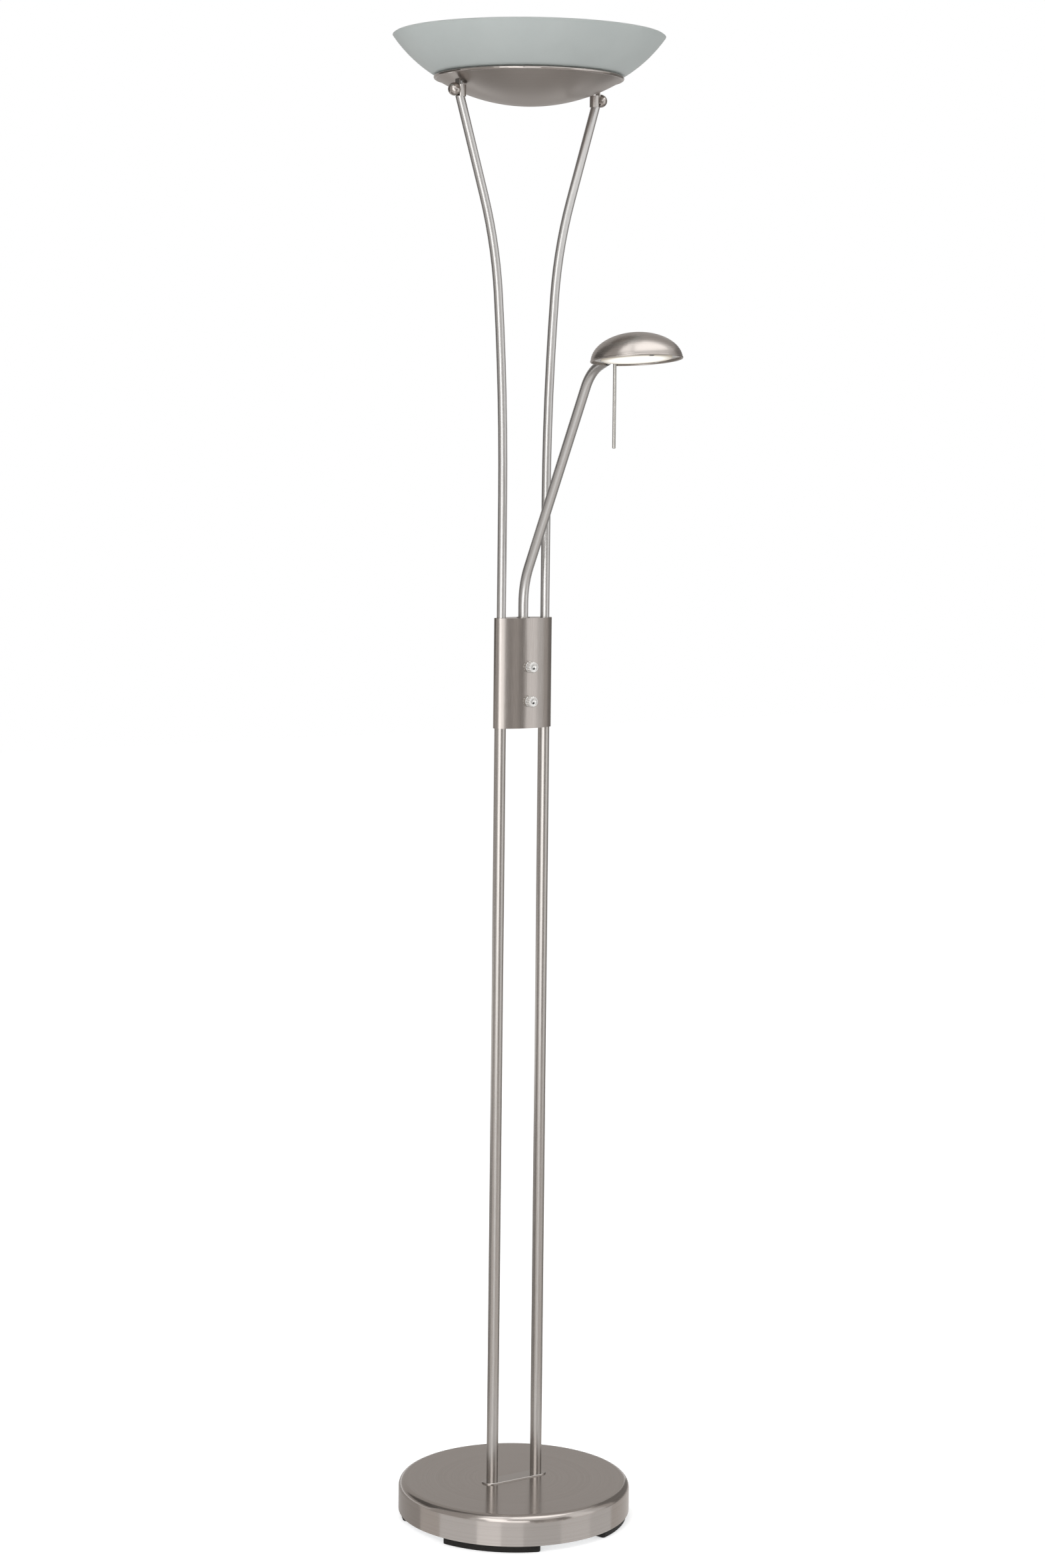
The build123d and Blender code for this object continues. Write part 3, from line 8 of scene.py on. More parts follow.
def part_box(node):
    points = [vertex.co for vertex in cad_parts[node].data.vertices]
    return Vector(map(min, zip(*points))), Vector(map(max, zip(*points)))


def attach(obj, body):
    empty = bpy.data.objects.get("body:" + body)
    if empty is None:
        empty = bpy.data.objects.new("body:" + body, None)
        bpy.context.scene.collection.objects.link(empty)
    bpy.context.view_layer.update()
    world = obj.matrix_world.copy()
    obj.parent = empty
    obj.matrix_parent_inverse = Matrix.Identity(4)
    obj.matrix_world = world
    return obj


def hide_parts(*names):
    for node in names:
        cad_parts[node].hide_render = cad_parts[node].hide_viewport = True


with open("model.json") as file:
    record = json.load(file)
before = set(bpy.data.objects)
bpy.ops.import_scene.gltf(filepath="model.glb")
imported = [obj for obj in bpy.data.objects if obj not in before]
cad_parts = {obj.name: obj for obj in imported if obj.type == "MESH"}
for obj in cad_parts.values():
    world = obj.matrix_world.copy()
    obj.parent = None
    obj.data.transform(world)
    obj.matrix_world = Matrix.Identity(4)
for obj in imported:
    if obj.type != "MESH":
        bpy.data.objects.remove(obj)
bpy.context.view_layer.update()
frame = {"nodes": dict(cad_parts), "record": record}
nodes = frame["nodes"]
print("frame loaded,", len(nodes), "pieces")

# the view of the photo: a long lens at chest height, left of the front.
# Azimuths are degrees round the lamp from its front, and minus is to its left
cameraSetup = {
    "azimuth": -33.0,
    "distance": 3.8066,    # level distance from the lamp's middle, metres
    "height": 1.3007,
    "lens": 72.02,
    "sensor": 36,
    "pitch": 1.0,          # degrees down
    "roll": 0.62,          # degrees, the lamp's top leans right by this much
    "shiftX": -0.0012,
    "shiftY": -0.1796,
    "clipEnd": 60,
}


def roundLamp(az, far, height):
    # the place at this azimuth in radians, level distance and height
    return (sin(az) * far, -cos(az) * far, height)


def makeCamera(s):
    data = bpy.data.cameras.new("camera")
    data.lens = s["lens"]
    data.sensor_width = s["sensor"]
    data.shift_x = s["shiftX"]
    data.shift_y = s["shiftY"]
    data.clip_end = s["clipEnd"]
    cam = bpy.data.objects.new("camera", data)
    bpy.context.scene.collection.objects.link(cam)
    az = radians(s["azimuth"])
    pitch = radians(s["pitch"])
    cam.location = roundLamp(az, s["distance"], s["height"])
    aim = Vector((-sin(az) * cos(pitch), cos(az) * cos(pitch), -sin(pitch)))
    turn = aim.to_track_quat("-Z", "Y") @ Quaternion((0, 0, 1), radians(s["roll"]))
    cam.rotation_euler = turn.to_euler()
    bpy.context.scene.camera = cam


makeCamera(cameraSetup)
bpy.context.scene.view_settings.view_transform = "Standard"
print("camera set")

# white studio: the floor and the world are white to the eye and to bright metal
studio = {
    "worldLight": 0.62,
    "floorColour": (0.86, 0.86, 0.86),
    "floorGlow": 0.5,
    "floorHalf": 9.0,
    "drop": 0.0002,        # the floor lies this much under the pads
}


def seenDirectly(tree):
    # 1 for camera, glossy and transmission rays, 0 for the rays that light things
    path = tree.nodes.new("ShaderNodeLightPath")
    seen = path.outputs["Is Camera Ray"]
    for ray in ("Is Glossy Ray", "Is Transmission Ray"):
        either = tree.nodes.new("ShaderNodeMath")
        either.operation = "MAXIMUM"
        tree.links.new(seen, either.inputs[0])
        tree.links.new(path.outputs[ray], either.inputs[1])
        seen = either.outputs[0]
    return seen


def makeWorld(s):
    world = bpy.data.worlds.new("studio")
    bpy.context.scene.world = world
    world.use_nodes = True
    tree = world.node_tree
    tree.nodes.clear()
    out = tree.nodes.new("ShaderNodeOutputWorld")
    mix = tree.nodes.new("ShaderNodeMixShader")
    tree.links.new(seenDirectly(tree), mix.inputs[0])
    for k, strength in enumerate((s["worldLight"], 1)):
        white = tree.nodes.new("ShaderNodeBackground")
        white.inputs["Color"].default_value = (1, 1, 1, 1)
        white.inputs["Strength"].default_value = strength
        tree.links.new(white.outputs[0], mix.inputs[k + 1])
    tree.links.new(mix.outputs[0], out.inputs[0])


def newMesh(name, verts, faces):
    mesh = bpy.data.meshes.new(name)
    mesh.from_pydata(verts, [], faces)
    mesh.update()
    obj = bpy.data.objects.new(name, mesh)
    bpy.context.scene.collection.objects.link(obj)
    return obj


def emptyMaterial(name):
    mat = bpy.data.materials.new(name)
    mat.use_nodes = True
    mat.node_tree.nodes.clear()
    return mat, mat.node_tree


def makeFloor(s):
    h = s["floorHalf"]
    z = -s["drop"]
    floor = newMesh("floor", [(-h, -h, z), (h, -h, z), (h, h, z), (-h, h, z)], [(0, 1, 2, 3)])
    mat, tree = emptyMaterial("studioFloor")
    out = tree.nodes.new("ShaderNodeOutputMaterial")
    add = tree.nodes.new("ShaderNodeAddShader")
    paint = tree.nodes.new("ShaderNodeBsdfDiffuse")
    paint.inputs["Color"].default_value = (*s["floorColour"], 1)
    glow = tree.nodes.new("ShaderNodeEmission")
    scale = tree.nodes.new("ShaderNodeMath")
    scale.operation = "MULTIPLY"
    scale.inputs[1].default_value = s["floorGlow"]
    tree.links.new(seenDirectly(tree), scale.inputs[0])
    tree.links.new(scale.outputs[0], glow.inputs["Strength"])
    tree.links.new(paint.outputs[0], add.inputs[0])
    tree.links.new(glow.outputs[0], add.inputs[1])
    tree.links.new(add.outputs[0], out.inputs[0])
    floor.data.materials.append(mat)


# soft lights that no metal mirrors
lights = {
    "key": {"azimuth": -55, "height": 2.6, "distance": 3.0, "size": 1.6, "power": 38},
    "fill": {"azimuth": 60, "height": 2.2, "distance": 3.4, "size": 2.0, "power": 22},
    "back": {"azimuth": 160, "height": 2.8, "distance": 3.2, "size": 1.8, "power": 20},
}
lightsAim = Vector((0, 0, 0.9))


def makeLight(name, s):
    data = bpy.data.lights.new(name, "AREA")
    data.energy = s["power"]
    data.size = s["size"]
    light = bpy.data.objects.new(name, data)
    bpy.context.scene.collection.objects.link(light)
    light.location = roundLamp(radians(s["azimuth"]), s["distance"], s["height"])
    aim = lightsAim - Vector(light.location)
    light.rotation_euler = aim.to_track_quat("-Z", "Y").to_euler()
    light.visible_glossy = False


# curved cards that only bright metal sees: they give it its dark and bright bands.
# The upright ones stand this far off, each between two azimuths and two heights,
# and the last number is how bright it is
wall = 2.4
uprightCards = {
    "leftWhite": ((-58, -19), (0.2, 1.1), 2.4),
    "leftWhiteHigh": ((-68, -40), (1.1, 2.5), 2.5),
    "gapLow": ((-40, -18), (1.1, 1.6), 0.42),
    "gapHigh": ((-40, -18), (1.6, 2.5), 0.9),
    "leftGrey": ((-74, -59), (0.0, 1.1), 0.85),
    "leftGreyHigh": ((-74, -68), (1.1, 2.5), 0.7),
    "farLeftGrey": ((-120, -75), (0.0, 2.5), 0.55),
    "frontDark": ((-18, -3), (0.0, 1.6), 0.42),
    "frontGrey": ((-3, 10), (0.0, 1.6), 0.56),
    "frontShade": ((10, 23), (0.0, 1.6), 0.36),
    "frontHigh": ((-18, 23), (1.6, 2.5), 1.1),
    "rightBright": ((24, 50), (0.0, 2.5), 1.2),
    "rightPale": ((50, 66), (0.0, 2.5), 0.85),
    "rightGrey": ((66, 80), (0.0, 2.5), 0.6),
    "rightDark": ((80, 128), (0.0, 2.5), 0.26),
    "backGrey": ((130, 190), (0.3, 2.5), 0.50),
    "backLow": ((190, 238), (0.3, 0.85), 0.50),
    "backDark": ((190, 238), (0.85, 2.5), 0.14),
}
# the others slope overhead or lie on the floor: two azimuths, distance and height
# of one edge and of the other, and how bright it is
flatCards = {
    "ceilingBack": ((84, 190), (wall, 2.52), (0.2, 3.0), 0.5),
    "ceilingDark": ((190, 240), (wall, 2.52), (0.2, 3.0), 0.2),
    "ceilingLeft": ((240, 280), (wall, 2.52), (0.2, 3.0), 0.5),
    "softboxLeft": ((-78, -46), (1.7, 2.55), (0.3, 2.95), 2.0),
    "softboxFront": ((-38, 62), (1.7, 2.55), (0.3, 2.95), 2.3),
    "farLeft": ((-100, -52), (0.37, 0.002), (2.39, 0.002), 0.76),
    "farBright": ((-52, -18), (0.37, 0.002), (2.39, 0.002), 1.05),
    "farRight": ((-18, 60), (0.37, 0.002), (2.39, 0.002), 0.78),
    "farBack": ((60, 260), (0.37, 0.002), (2.39, 0.002), 0.37),
    "nearBack": ((56, 236), (0.142, 0.001), (0.42, 0.001), 0.54),
}
# strips of card fan out on the floor from the base's edge, for the bands on its side:
# two azimuths where a strip starts, and how bright it is
strips = {
    "stripFarLeft": ((-123, -86), 0.48),
    "stripLeft": ((-86, -72), 0.70),
    "stripPale": ((-72, -51), 0.90),
    "stripWhite": ((-51, -39), 1.24),
    "stripMiddle": ((-39, -28), 0.98),
    "stripShade": ((-28, -9), 0.80),
    "stripRight": ((-9, 8), 0.94),
    "stripDim": ((8, 24), 0.82),
    "stripFarRight": ((24, 57), 0.66),
}
stripPlace = {"start": 0.142, "length": 0.36, "height": 0.003}
cardLook = {
    "step": 6,                       # degrees between a card's cross lines
    "warmth": (1.0, 0.955, 0.92),    # colour of the grey cards
    "warmBelow": 0.8,                # cards as bright as this or brighter are white
}


def crossLines(azimuths):
    # where the card's cross lines stand, in radians
    first, last = azimuths
    count = max(2, round((last - first) / cardLook["step"]))
    return [radians(first + (last - first) * i / count) for i in range(count + 1)]


def curvedCard(name, azimuths, foot, head, tone):
    verts = []
    for az in crossLines(azimuths):
        verts += [roundLamp(az, *foot), roundLamp(az, *head)]
    makeCard(name, verts, tone)


def floorStrip(name, azimuths, tone):
    # a strip leaves the base the way that its side mirrors the view
    verts = []
    length = stripPlace["length"]
    for az in crossLines(azimuths):
        x, y, z = roundLamp(az, stripPlace["start"], stripPlace["height"])
        away = 2 * az - radians(cameraSetup["azimuth"])
        verts += [(x, y, z), (x + sin(away) * length, y - cos(away) * length, z)]
    makeCard(name, verts, tone)


def makeCard(name, verts, tone):
    count = len(verts) // 2 - 1
    faces = [(2 * i, 2 * i + 1, 2 * i + 3, 2 * i + 2) for i in range(count)]
    card = newMesh(name, verts, faces)
    mat, tree = emptyMaterial(name)
    out = tree.nodes.new("ShaderNodeOutputMaterial")
    glow = tree.nodes.new("ShaderNodeEmission")
    glow.inputs["Strength"].default_value = tone
    if tone < cardLook["warmBelow"]:
        glow.inputs["Color"].default_value = (*cardLook["warmth"], 1)
    tree.links.new(glow.outputs[0], out.inputs[0])
    card.data.materials.append(mat)
    card.visible_camera = False
    card.visible_diffuse = False
    card.visible_transmission = False
    card.visible_shadow = False


makeWorld(studio)
makeFloor(studio)
for name, s in lights.items():
    makeLight(name, s)
for name, (azimuths, heights, tone) in uprightCards.items():
    curvedCard(name, azimuths, (wall, heights[0]), (wall, heights[1]), tone)
for name, s in flatCards.items():
    curvedCard(name, *s)
for name, s in strips.items():
    floorStrip(name, *s)
print("studio lit")


# every finish starts with a shader and its plain numbers
def startFinish(name, colour, metal=0.0, rough=0.4):
    mat = bpy.data.materials.new(name)
    mat.use_nodes = True
    tree = mat.node_tree
    shader = tree.nodes["Principled BSDF"]
    shader.inputs["Base Color"].default_value = (*colour, 1)
    shader.inputs["Metallic"].default_value = metal
    shader.inputs["Roughness"].default_value = rough
    return mat, tree, shader


def addNode(tree, kind, **values):
    # each value is one of the node's own settings, or else one of its sockets
    node = tree.nodes.new(kind)
    for key, value in values.items():
        if hasattr(node, key):
            setattr(node, key, value)
        else:
            node.inputs[key].default_value = value
    return node


def grainPattern(tree, size, stretch=(1, 1, 1)):
    # noise, drawn out along the way the metal was brushed
    place = tree.nodes.new("ShaderNodeTexCoord")
    scale = addNode(tree, "ShaderNodeMapping", Scale=stretch)
    noise = addNode(tree, "ShaderNodeTexNoise", Scale=size, Detail=3.0)
    tree.links.new(place.outputs["Object"], scale.inputs["Vector"])
    tree.links.new(scale.outputs["Vector"], noise.inputs["Vector"])
    return noise.outputs["Fac"]


def turnedPattern(tree, size, centre):
    # fine rings round the upright axis, as a lathe leaves them
    place = tree.nodes.new("ShaderNodeTexCoord")
    move = addNode(tree, "ShaderNodeMapping", Location=[-c for c in centre])
    apart = tree.nodes.new("ShaderNodeSeparateXYZ")
    total = addNode(tree, "ShaderNodeMath", operation="ADD")
    root = addNode(tree, "ShaderNodeMath", operation="SQRT")
    join = tree.nodes.new("ShaderNodeCombineXYZ")
    noise = addNode(tree, "ShaderNodeTexNoise", Scale=size, Detail=4.0)
    tree.links.new(place.outputs["Object"], move.inputs["Vector"])
    tree.links.new(move.outputs["Vector"], apart.inputs[0])
    for k, axis in enumerate("XY"):
        square = addNode(tree, "ShaderNodeMath", operation="MULTIPLY")
        tree.links.new(apart.outputs[axis], square.inputs[0])
        tree.links.new(apart.outputs[axis], square.inputs[1])
        tree.links.new(square.outputs[0], total.inputs[k])
    tree.links.new(total.outputs[0], root.inputs[0])
    tree.links.new(root.outputs[0], join.inputs["X"])
    tree.links.new(apart.outputs["Z"], join.inputs["Y"])
    tree.links.new(join.outputs[0], noise.inputs["Vector"])
    return noise.outputs["Fac"]


def blend(tree, fac, ends, colours):
    # one colour up to the first end, the other from the second on
    ramp = tree.nodes.new("ShaderNodeValToRGB")
    for element, end, colour in zip(ramp.color_ramp.elements, ends, colours):
        element.position = end
        element.color = (*colour, 1)
    tree.links.new(fac, ramp.inputs["Fac"])
    return ramp.outputs["Color"]


tintEnds = (0.3, 0.7)      # noise hardly goes beyond these


def tintFrom(tree, shader, fac, dark, light):
    tree.links.new(blend(tree, fac, tintEnds, (dark, light)), shader.inputs["Base Color"])


def roughFrom(tree, shader, fac, smooth, rough):
    span = tree.nodes.new("ShaderNodeMapRange")
    span.inputs["To Min"].default_value = smooth
    span.inputs["To Max"].default_value = rough
    tree.links.new(fac, span.inputs["Value"])
    tree.links.new(span.outputs[0], shader.inputs["Roughness"])


def bumpFrom(tree, shader, fac, depth, strength):
    bump = addNode(tree, "ShaderNodeBump", Distance=depth, Strength=strength)
    tree.links.new(fac, bump.inputs["Height"])
    tree.links.new(bump.outputs["Normal"], shader.inputs["Normal"])


# brushed nickel, dark and light: warmer on the wide pieces than on the drawn tubes
sheetTones = ((0.410, 0.374, 0.348), (0.468, 0.432, 0.406))
dishTones = ((0.402, 0.368, 0.343), (0.459, 0.425, 0.400))
poleTones = ((0.430, 0.404, 0.382), (0.492, 0.466, 0.444))
# the slim tubes' tones are lighter than the poles': painted light, since the upper tubes and the
# arm get more light than the poles below
slimTonesPaintedLight = ((0.522, 0.512, 0.500), (0.590, 0.579, 0.567))
nickelMarks = {
    "rings": 2600.0,       # how fine the lathe's rings are
    "grain": 60.0,         # how fine the brushed grain is
    "depth": 0.00001,
    "glossTurn": 0.25,     # quarter turn: the gloss spreads across the rings
}


def turnedNickel(name, smooth, rough, spread, relief=0.15, centre=(0, 0, 0), tones=sheetTones):
    # spread is how much longer the gloss is across the rings than along them
    mat, tree, shader = startFinish(name, tones[1], metal=1.0)
    rings = turnedPattern(tree, nickelMarks["rings"], centre)
    tintFrom(tree, shader, rings, *tones)
    roughFrom(tree, shader, rings, smooth, rough)
    bumpFrom(tree, shader, rings, nickelMarks["depth"], relief)
    shader.inputs["Anisotropic"].default_value = spread
    shader.inputs["Anisotropic Rotation"].default_value = nickelMarks["glossTurn"]
    tangent = addNode(tree, "ShaderNodeTangent", direction_type="RADIAL", axis="Z")
    tree.links.new(tangent.outputs[0], shader.inputs["Tangent"])
    return mat


# the dish is spun, and its rolled lip is polished
dish = {
    "smooth": 0.28,
    "rough": 0.36,
    "spread": 0.65,
    "lipWidth": 0.0036,
    "lipFade": 0.0006,     # the polish sets in over this distance
    "lipRough": 0.06,
}


def dishNickel(name, edge, s):
    mat = turnedNickel(name, s["smooth"], s["rough"], s["spread"], tones=dishTones)
    tree = mat.node_tree
    shader = tree.nodes["Principled BSDF"]
    start = edge - s["lipWidth"]
    place = tree.nodes.new("ShaderNodeTexCoord")
    flat = addNode(tree, "ShaderNodeMapping", Scale=(1, 1, 0))
    far = addNode(tree, "ShaderNodeVectorMath", operation="LENGTH")
    polish = tree.nodes.new("ShaderNodeMapRange")
    polish.inputs["From Min"].default_value = start
    polish.inputs["From Max"].default_value = start + s["lipFade"]
    mix = addNode(tree, "ShaderNodeMix", data_type="FLOAT")
    mix.inputs[3].default_value = s["lipRough"]
    before = shader.inputs["Roughness"].links[0].from_socket
    tree.links.new(place.outputs["Object"], flat.inputs["Vector"])
    tree.links.new(flat.outputs["Vector"], far.inputs[0])
    tree.links.new(far.outputs["Value"], polish.inputs["Value"])
    tree.links.new(polish.outputs[0], mix.inputs[0])
    tree.links.new(before, mix.inputs[2])
    tree.links.new(mix.outputs[0], shader.inputs["Roughness"])
    return mat


def brushedNickel(name, smooth=0.14, rough=0.24, tones=sheetTones, relief=0.25,
                  stretch=(30, 30, 1)):
    mat, tree, shader = startFinish(name, tones[1], metal=1.0)
    grain = grainPattern(tree, nickelMarks["grain"], stretch)
    tintFrom(tree, shader, grain, *tones)
    roughFrom(tree, shader, grain, smooth, rough)
    bumpFrom(tree, shader, grain, nickelMarks["depth"], relief)
    return mat


markedShare = 0.86         # marks on plain metal have this share of its tone


def plainMetal(name, colour, smooth, rough, size=400.0, relief=0.2):
    mat, tree, shader = startFinish(name, colour, metal=1.0)
    marks = grainPattern(tree, size)
    tintFrom(tree, shader, marks, [c * markedShare for c in colour], colour)
    roughFrom(tree, shader, marks, smooth, rough)
    bumpFrom(tree, shader, marks, depth=0.00003, strength=relief)
    return mat


def paleRingPaintedLight(name):
    # part gloss, part a pale tone: the pale is painted light, lighter than the nickel the ring
    # is made of, so that the ring reads as lit by the lens
    pale = (0.72, 0.70, 0.665)
    mat, tree, shader = startFinish(name, pale, metal=0.35)
    marks = grainPattern(tree, size=900.0)
    tintFrom(tree, shader, marks, dark=(0.64, 0.62, 0.585), light=pale)
    roughFrom(tree, shader, marks, smooth=0.30, rough=0.38)
    bumpFrom(tree, shader, marks, depth=0.00002, strength=0.2)
    return mat


def knobPaintedLight(name):
    # part mirror, part a pale tone: the pale is a painted highlight, standing in for the bright
    # reflections on the chrome knob's sides
    mat, tree, shader = startFinish(name, (0.76, 0.75, 0.73), metal=0.5)
    marks = grainPattern(tree, size=700.0)
    tintFrom(tree, shader, marks, dark=(0.70, 0.69, 0.67), light=(0.78, 0.77, 0.75))
    roughFrom(tree, shader, marks, smooth=0.10, rough=0.18)
    bumpFrom(tree, shader, marks, depth=0.00001, strength=0.15)
    return mat


def rubberFinish(name):
    mat, tree, shader = startFinish(name, (0.010, 0.009, 0.008), rough=0.6)
    shader.inputs["Specular IOR Level"].default_value = 0.25
    marks = grainPattern(tree, size=600.0)
    tintFrom(tree, shader, marks, dark=(0.006, 0.005, 0.004), light=(0.014, 0.012, 0.010))
    bumpFrom(tree, shader, marks, depth=0.0001, strength=0.3)
    return mat


def mattFinish(name, dark, light, rough, size=300.0, relief=0.3):
    mat, tree, shader = startFinish(name, light, rough=rough)
    marks = grainPattern(tree, size)
    tintFrom(tree, shader, marks, dark, light)
    bumpFrom(tree, shader, marks, depth=0.0001, strength=relief)
    return mat


def frostedGlass(name):
    pale = (0.600, 0.640, 0.626)
    mat, tree, shader = startFinish(name, pale, rough=0.42)
    shader.inputs["Transmission Weight"].default_value = 0.18
    shader.inputs["IOR"].default_value = 1.45
    shader.inputs["Subsurface Weight"].default_value = 0.3
    shader.inputs["Subsurface Radius"].default_value = (0.004, 0.0042, 0.0042)
    cloud = grainPattern(tree, size=14.0)
    tintFrom(tree, shader, cloud, dark=(0.560, 0.602, 0.590), light=pale)
    fine = grainPattern(tree, size=1800.0)
    bumpFrom(tree, shader, fine, depth=0.00002, strength=0.25)
    return mat


def clearGlass(name, colour):
    mat, tree, shader = startFinish(name, colour, rough=0.03)
    shader.inputs["Transmission Weight"].default_value = 1.0
    shader.inputs["IOR"].default_value = 1.46
    wave = grainPattern(tree, size=30.0)
    bumpFrom(tree, shader, wave, depth=0.00005, strength=0.1)
    return mat


# the reading light is on: the lamp lights the glass's middle, and the rim is dim and warm
lens = {
    "colour": (0.28, 0.275, 0.26),
    "glow": 0.86,
    "bright": (1.0, 0.97, 0.90),
    "dim": (0.36, 0.31, 0.24),
    "fade": (0.74, 0.99),  # shares of the radius between which it dims
}


def litLens(name, middle, radius, s):
    mat, tree, shader = startFinish(name, s["colour"], rough=0.5)
    shader.inputs["Emission Strength"].default_value = s["glow"]
    place = tree.nodes.new("ShaderNodeTexCoord")
    far = addNode(tree, "ShaderNodeVectorMath", operation="DISTANCE")
    far.inputs[1].default_value = middle
    share = addNode(tree, "ShaderNodeMath", operation="DIVIDE")
    share.inputs[1].default_value = radius
    tree.links.new(place.outputs["Object"], far.inputs[0])
    tree.links.new(far.outputs["Value"], share.inputs[0])
    glow = blend(tree, share.outputs[0], s["fade"], (s["bright"], s["dim"]))
    tree.links.new(glow, shader.inputs["Emission Color"])
    fine = grainPattern(tree, size=1500.0)
    bumpFrom(tree, shader, fine, depth=0.00003, strength=0.3)
    return mat


lensLow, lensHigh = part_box("head_lens")
lensMiddle = (lensLow + lensHigh) / 2
lensRadius = (lensHigh.x - lensLow.x) / 2
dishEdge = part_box("uplight_dish")[1].x
finishes = {
    "satin_nickel": turnedNickel("turnedNickel", smooth=0.16, rough=0.22, spread=0.6),
    "dish_nickel": dishNickel("dishNickel", dishEdge, dish),
    # the ring's pale tone is painted light from the lens
    "ring_nickel": paleRingPaintedLight("ringNickel"),
    "head_nickel": turnedNickel("headNickel", smooth=0.25, rough=0.31, spread=0.4,
                                relief=0.05, centre=lensMiddle),
    "housing_nickel": brushedNickel("housingNickel"),
    "nickel_tube": brushedNickel("tubeNickel", smooth=0.20, rough=0.28, tones=poleTones),
    # upper tubes and arm: the same nickel in lighter tones, painted light
    "slim_nickel": brushedNickel("slimTubeNickelPaintedLight", smooth=0.26, rough=0.34, tones=slimTonesPaintedLight,
                                 relief=0.08),
    "rod_nickel": plainMetal("rodNickel", (0.55, 0.535, 0.505), smooth=0.20, rough=0.26,
                             size=150.0, relief=0.05),
    # the knobs' pale tone is a painted highlight on the chrome
    "knob_chrome": knobPaintedLight("knobChrome"),
    "ball_nickel": brushedNickel("ballNickel", smooth=0.10, rough=0.16, stretch=(6, 6, 6)),
    "polished_chrome": plainMetal("polishedChrome", (0.80, 0.80, 0.79), smooth=0.05, rough=0.12),
    "frosted_glass": frostedGlass("frostedGlass"),
    "clear_glass": clearGlass("clearGlass", (0.94, 0.97, 0.96)),
    "lamp_glass": clearGlass("quartzGlass", (0.98, 0.97, 0.95)),
    "lit_lens": litLens("litLens", lensMiddle, lensRadius, lens),
    "black_rubber": rubberFinish("blackRubber"),
    "cast_iron": mattFinish("castIron", dark=(0.06, 0.06, 0.06), light=(0.11, 0.11, 0.11),
                            rough=0.7, size=500.0, relief=0.6),
    "zinc_steel": plainMetal("zincSteel", (0.60, 0.61, 0.62), smooth=0.25, rough=0.42),
    "bright_aluminium": plainMetal("brightAluminium", (0.83, 0.83, 0.83), smooth=0.12,
                                   rough=0.22),
    "white_ceramic": mattFinish("whiteCeramic", dark=(0.78, 0.77, 0.73),
                                light=(0.86, 0.85, 0.82), rough=0.55),
    "black_plastic": mattFinish("blackPlastic", dark=(0.02, 0.02, 0.02),
                                light=(0.035, 0.035, 0.035), rough=0.45),
    "cable_jacket": mattFinish("cableJacket", dark=(0.62, 0.62, 0.61),
                               light=(0.70, 0.70, 0.69), rough=0.5),
}
# pieces whose finish differs from their slot's own
ownFinish = {
    "uplight_dish": "dish_nickel",
    "ball_screws": "ball_nickel",
    "head_shell": "head_nickel",
    "head_ring": "ring_nickel",
    "switch_housing_front": "housing_nickel",
    "switch_housing_rear": "housing_nickel",
    "housing_end_plates": "housing_nickel",
    "dish_tabs": "nickel_tube",
    "upper_tube_left": "slim_nickel",
    "upper_tube_right": "slim_nickel",
    "reading_arm": "slim_nickel",
    "handle_rod": "rod_nickel",
}
for part in frame["record"]["subparts"]:
    finish = finishes[ownFinish.get(part["node"], part["material_slot"])]
    for place in nodes[part["node"]].material_slots:
        place.material = finish
print("finishes on")

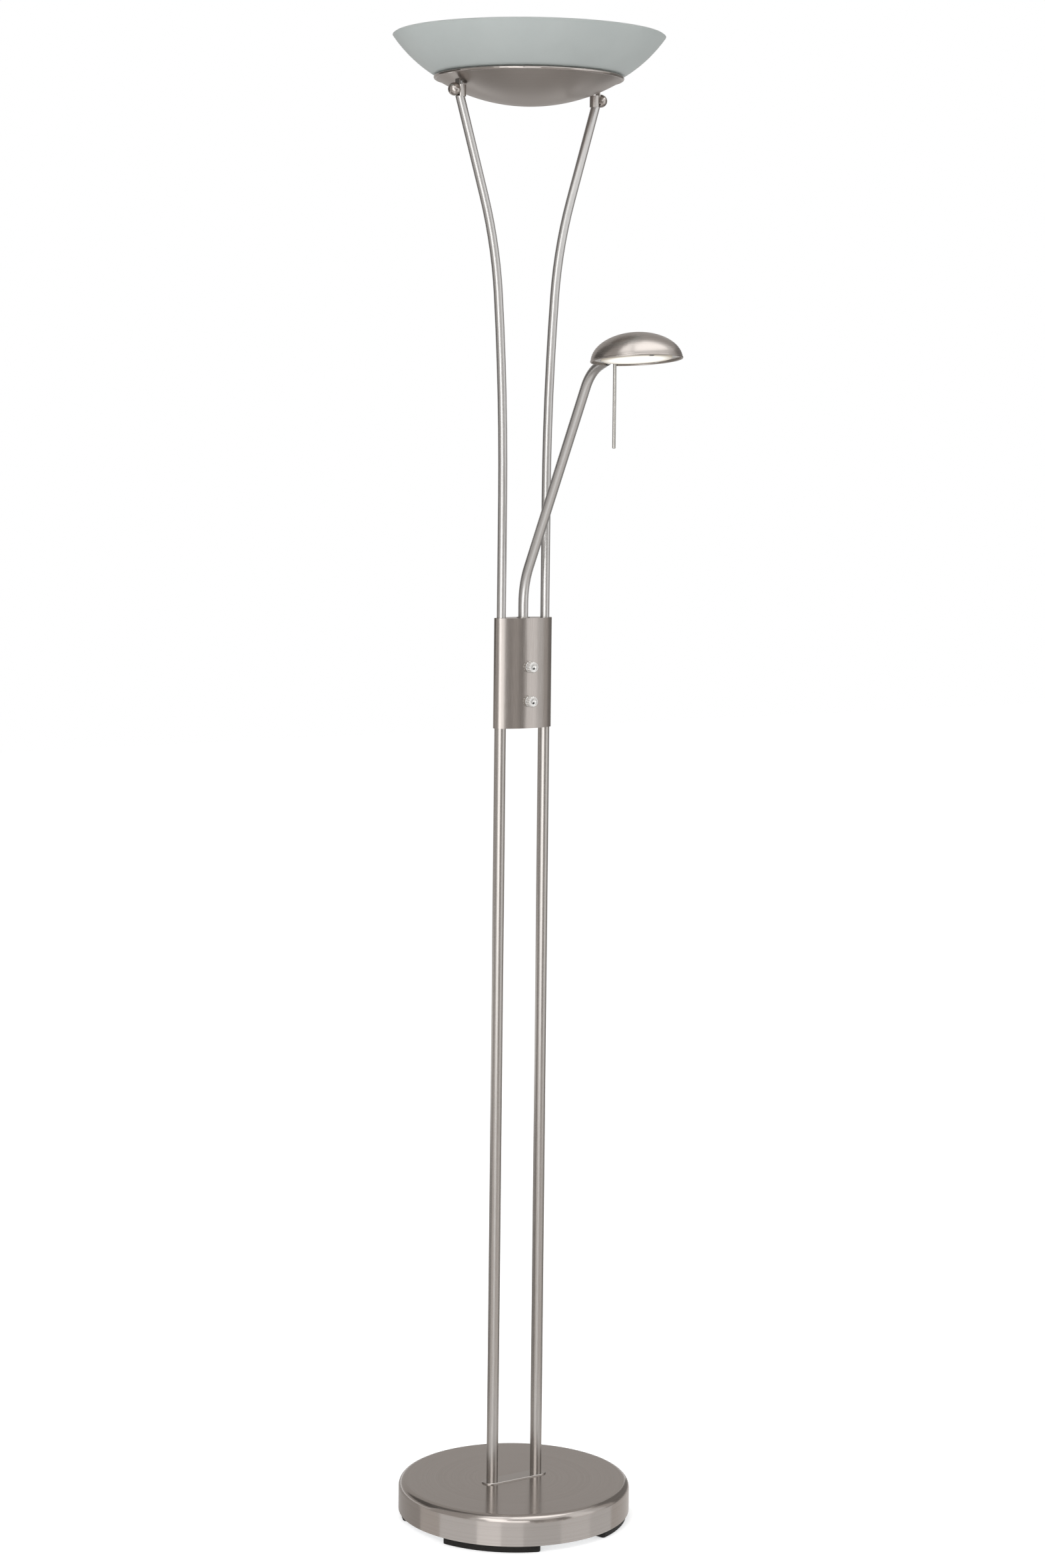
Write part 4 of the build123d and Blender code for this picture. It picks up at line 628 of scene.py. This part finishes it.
# the two dimmer knobs: fluted skirt, rounded front edge, dished face with a dark dot.
# Each line of a profile gives how far in from that end of the knob it lies, its share
# of the radius, and its share of the flutes' depth
knob = {
    "flutes": 12,
    "fluteDepth": 0.0012,
    "segments": 168,
    "fromBack": [
        (0, 0.62, 0), (0, 0.97, 0), (0.0004, 1, 0), (0.0012, 1, 0), (0.0014, 0.93, 0),
        (0.0017, 0.93, 0), (0.0021, 1, 1),
    ],
    "fromFront": [
        (0.0016, 0.985, 1), (0.0009, 0.95, 0.8), (0.0004, 0.89, 0.3), (0.0001, 0.82, 0),
        (0, 0.76, 0), (0.0001, 0.70, 0), (0.0003, 0.62, 0), (0.00035, 0.30, 0),
    ],
    "dotRadius": 0.0014,
    "dotDrop": 0.0016,     # the dot's middle is this far below the knob's
    "dotSides": 24,
    # how far in from the knob's front, and share of the dot's radius
    "dotProfile": [(0.0003, 1.0), (0.00015, 0.8), (0.0001, 0.4)],
}


def joinRings(rings, count, backCap):
    # quads from ring to ring, then the cap at the back if it is wanted, and the front one
    faces = []
    for start in range(0, (rings - 1) * count, count):
        for i in range(count):
            j = (i + 1) % count
            faces.append((start + i, start + j, start + count + j, start + count + i))
    if backCap:
        faces.append(tuple(range(count)))
    last = (rings - 1) * count
    faces.append(tuple(last + i for i in reversed(range(count))))
    return faces


def makeDot(name, body, middle, front, s):
    verts = []
    for inwards, share in s["dotProfile"]:
        far = s["dotRadius"] * share
        for i in range(s["dotSides"]):
            turn = 2 * pi * i / s["dotSides"]
            x = middle.x + far * cos(turn)
            z = middle.z - s["dotDrop"] + far * sin(turn)
            verts.append((x, front + inwards, z))
    faces = joinRings(len(s["dotProfile"]), s["dotSides"], backCap=False)
    dot = newMesh(name, verts, faces)
    dot.data.materials.append(finishes["black_plastic"])
    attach(dot, body)


def makeKnob(name, node, body, s):
    lowEnd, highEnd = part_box(node)
    middle = (lowEnd + highEnd) / 2
    radius = (highEnd.x - lowEnd.x) / 2
    profile = [(highEnd.y - inwards, *line) for inwards, *line in s["fromBack"]]
    profile += [(lowEnd.y + inwards, *line) for inwards, *line in s["fromFront"]]
    verts = []
    for y, share, deep in profile:
        for i in range(s["segments"]):
            turn = 2 * pi * i / s["segments"]
            wave = 0.5 - 0.5 * cos(turn * s["flutes"])
            far = radius * share - s["fluteDepth"] * deep * wave ** 2
            verts.append((middle.x + far * cos(turn), y, middle.z + far * sin(turn)))
    faces = joinRings(len(profile), s["segments"], backCap=True)
    piece = newMesh(name, verts, faces)
    piece.data.materials.append(finishes["knob_chrome"])
    for face in piece.data.polygons:
        face.use_smooth = len(face.vertices) == 4
    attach(piece, body)
    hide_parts(node)
    makeDot(name + "Dot", body, middle, lowEnd.y, s)


makeKnob("knobUplight", "knob_uplight", "uplight_knob", knob)
makeKnob("knobReading", "knob_reading_light", "reading_knob", knob)
print("knobs made")
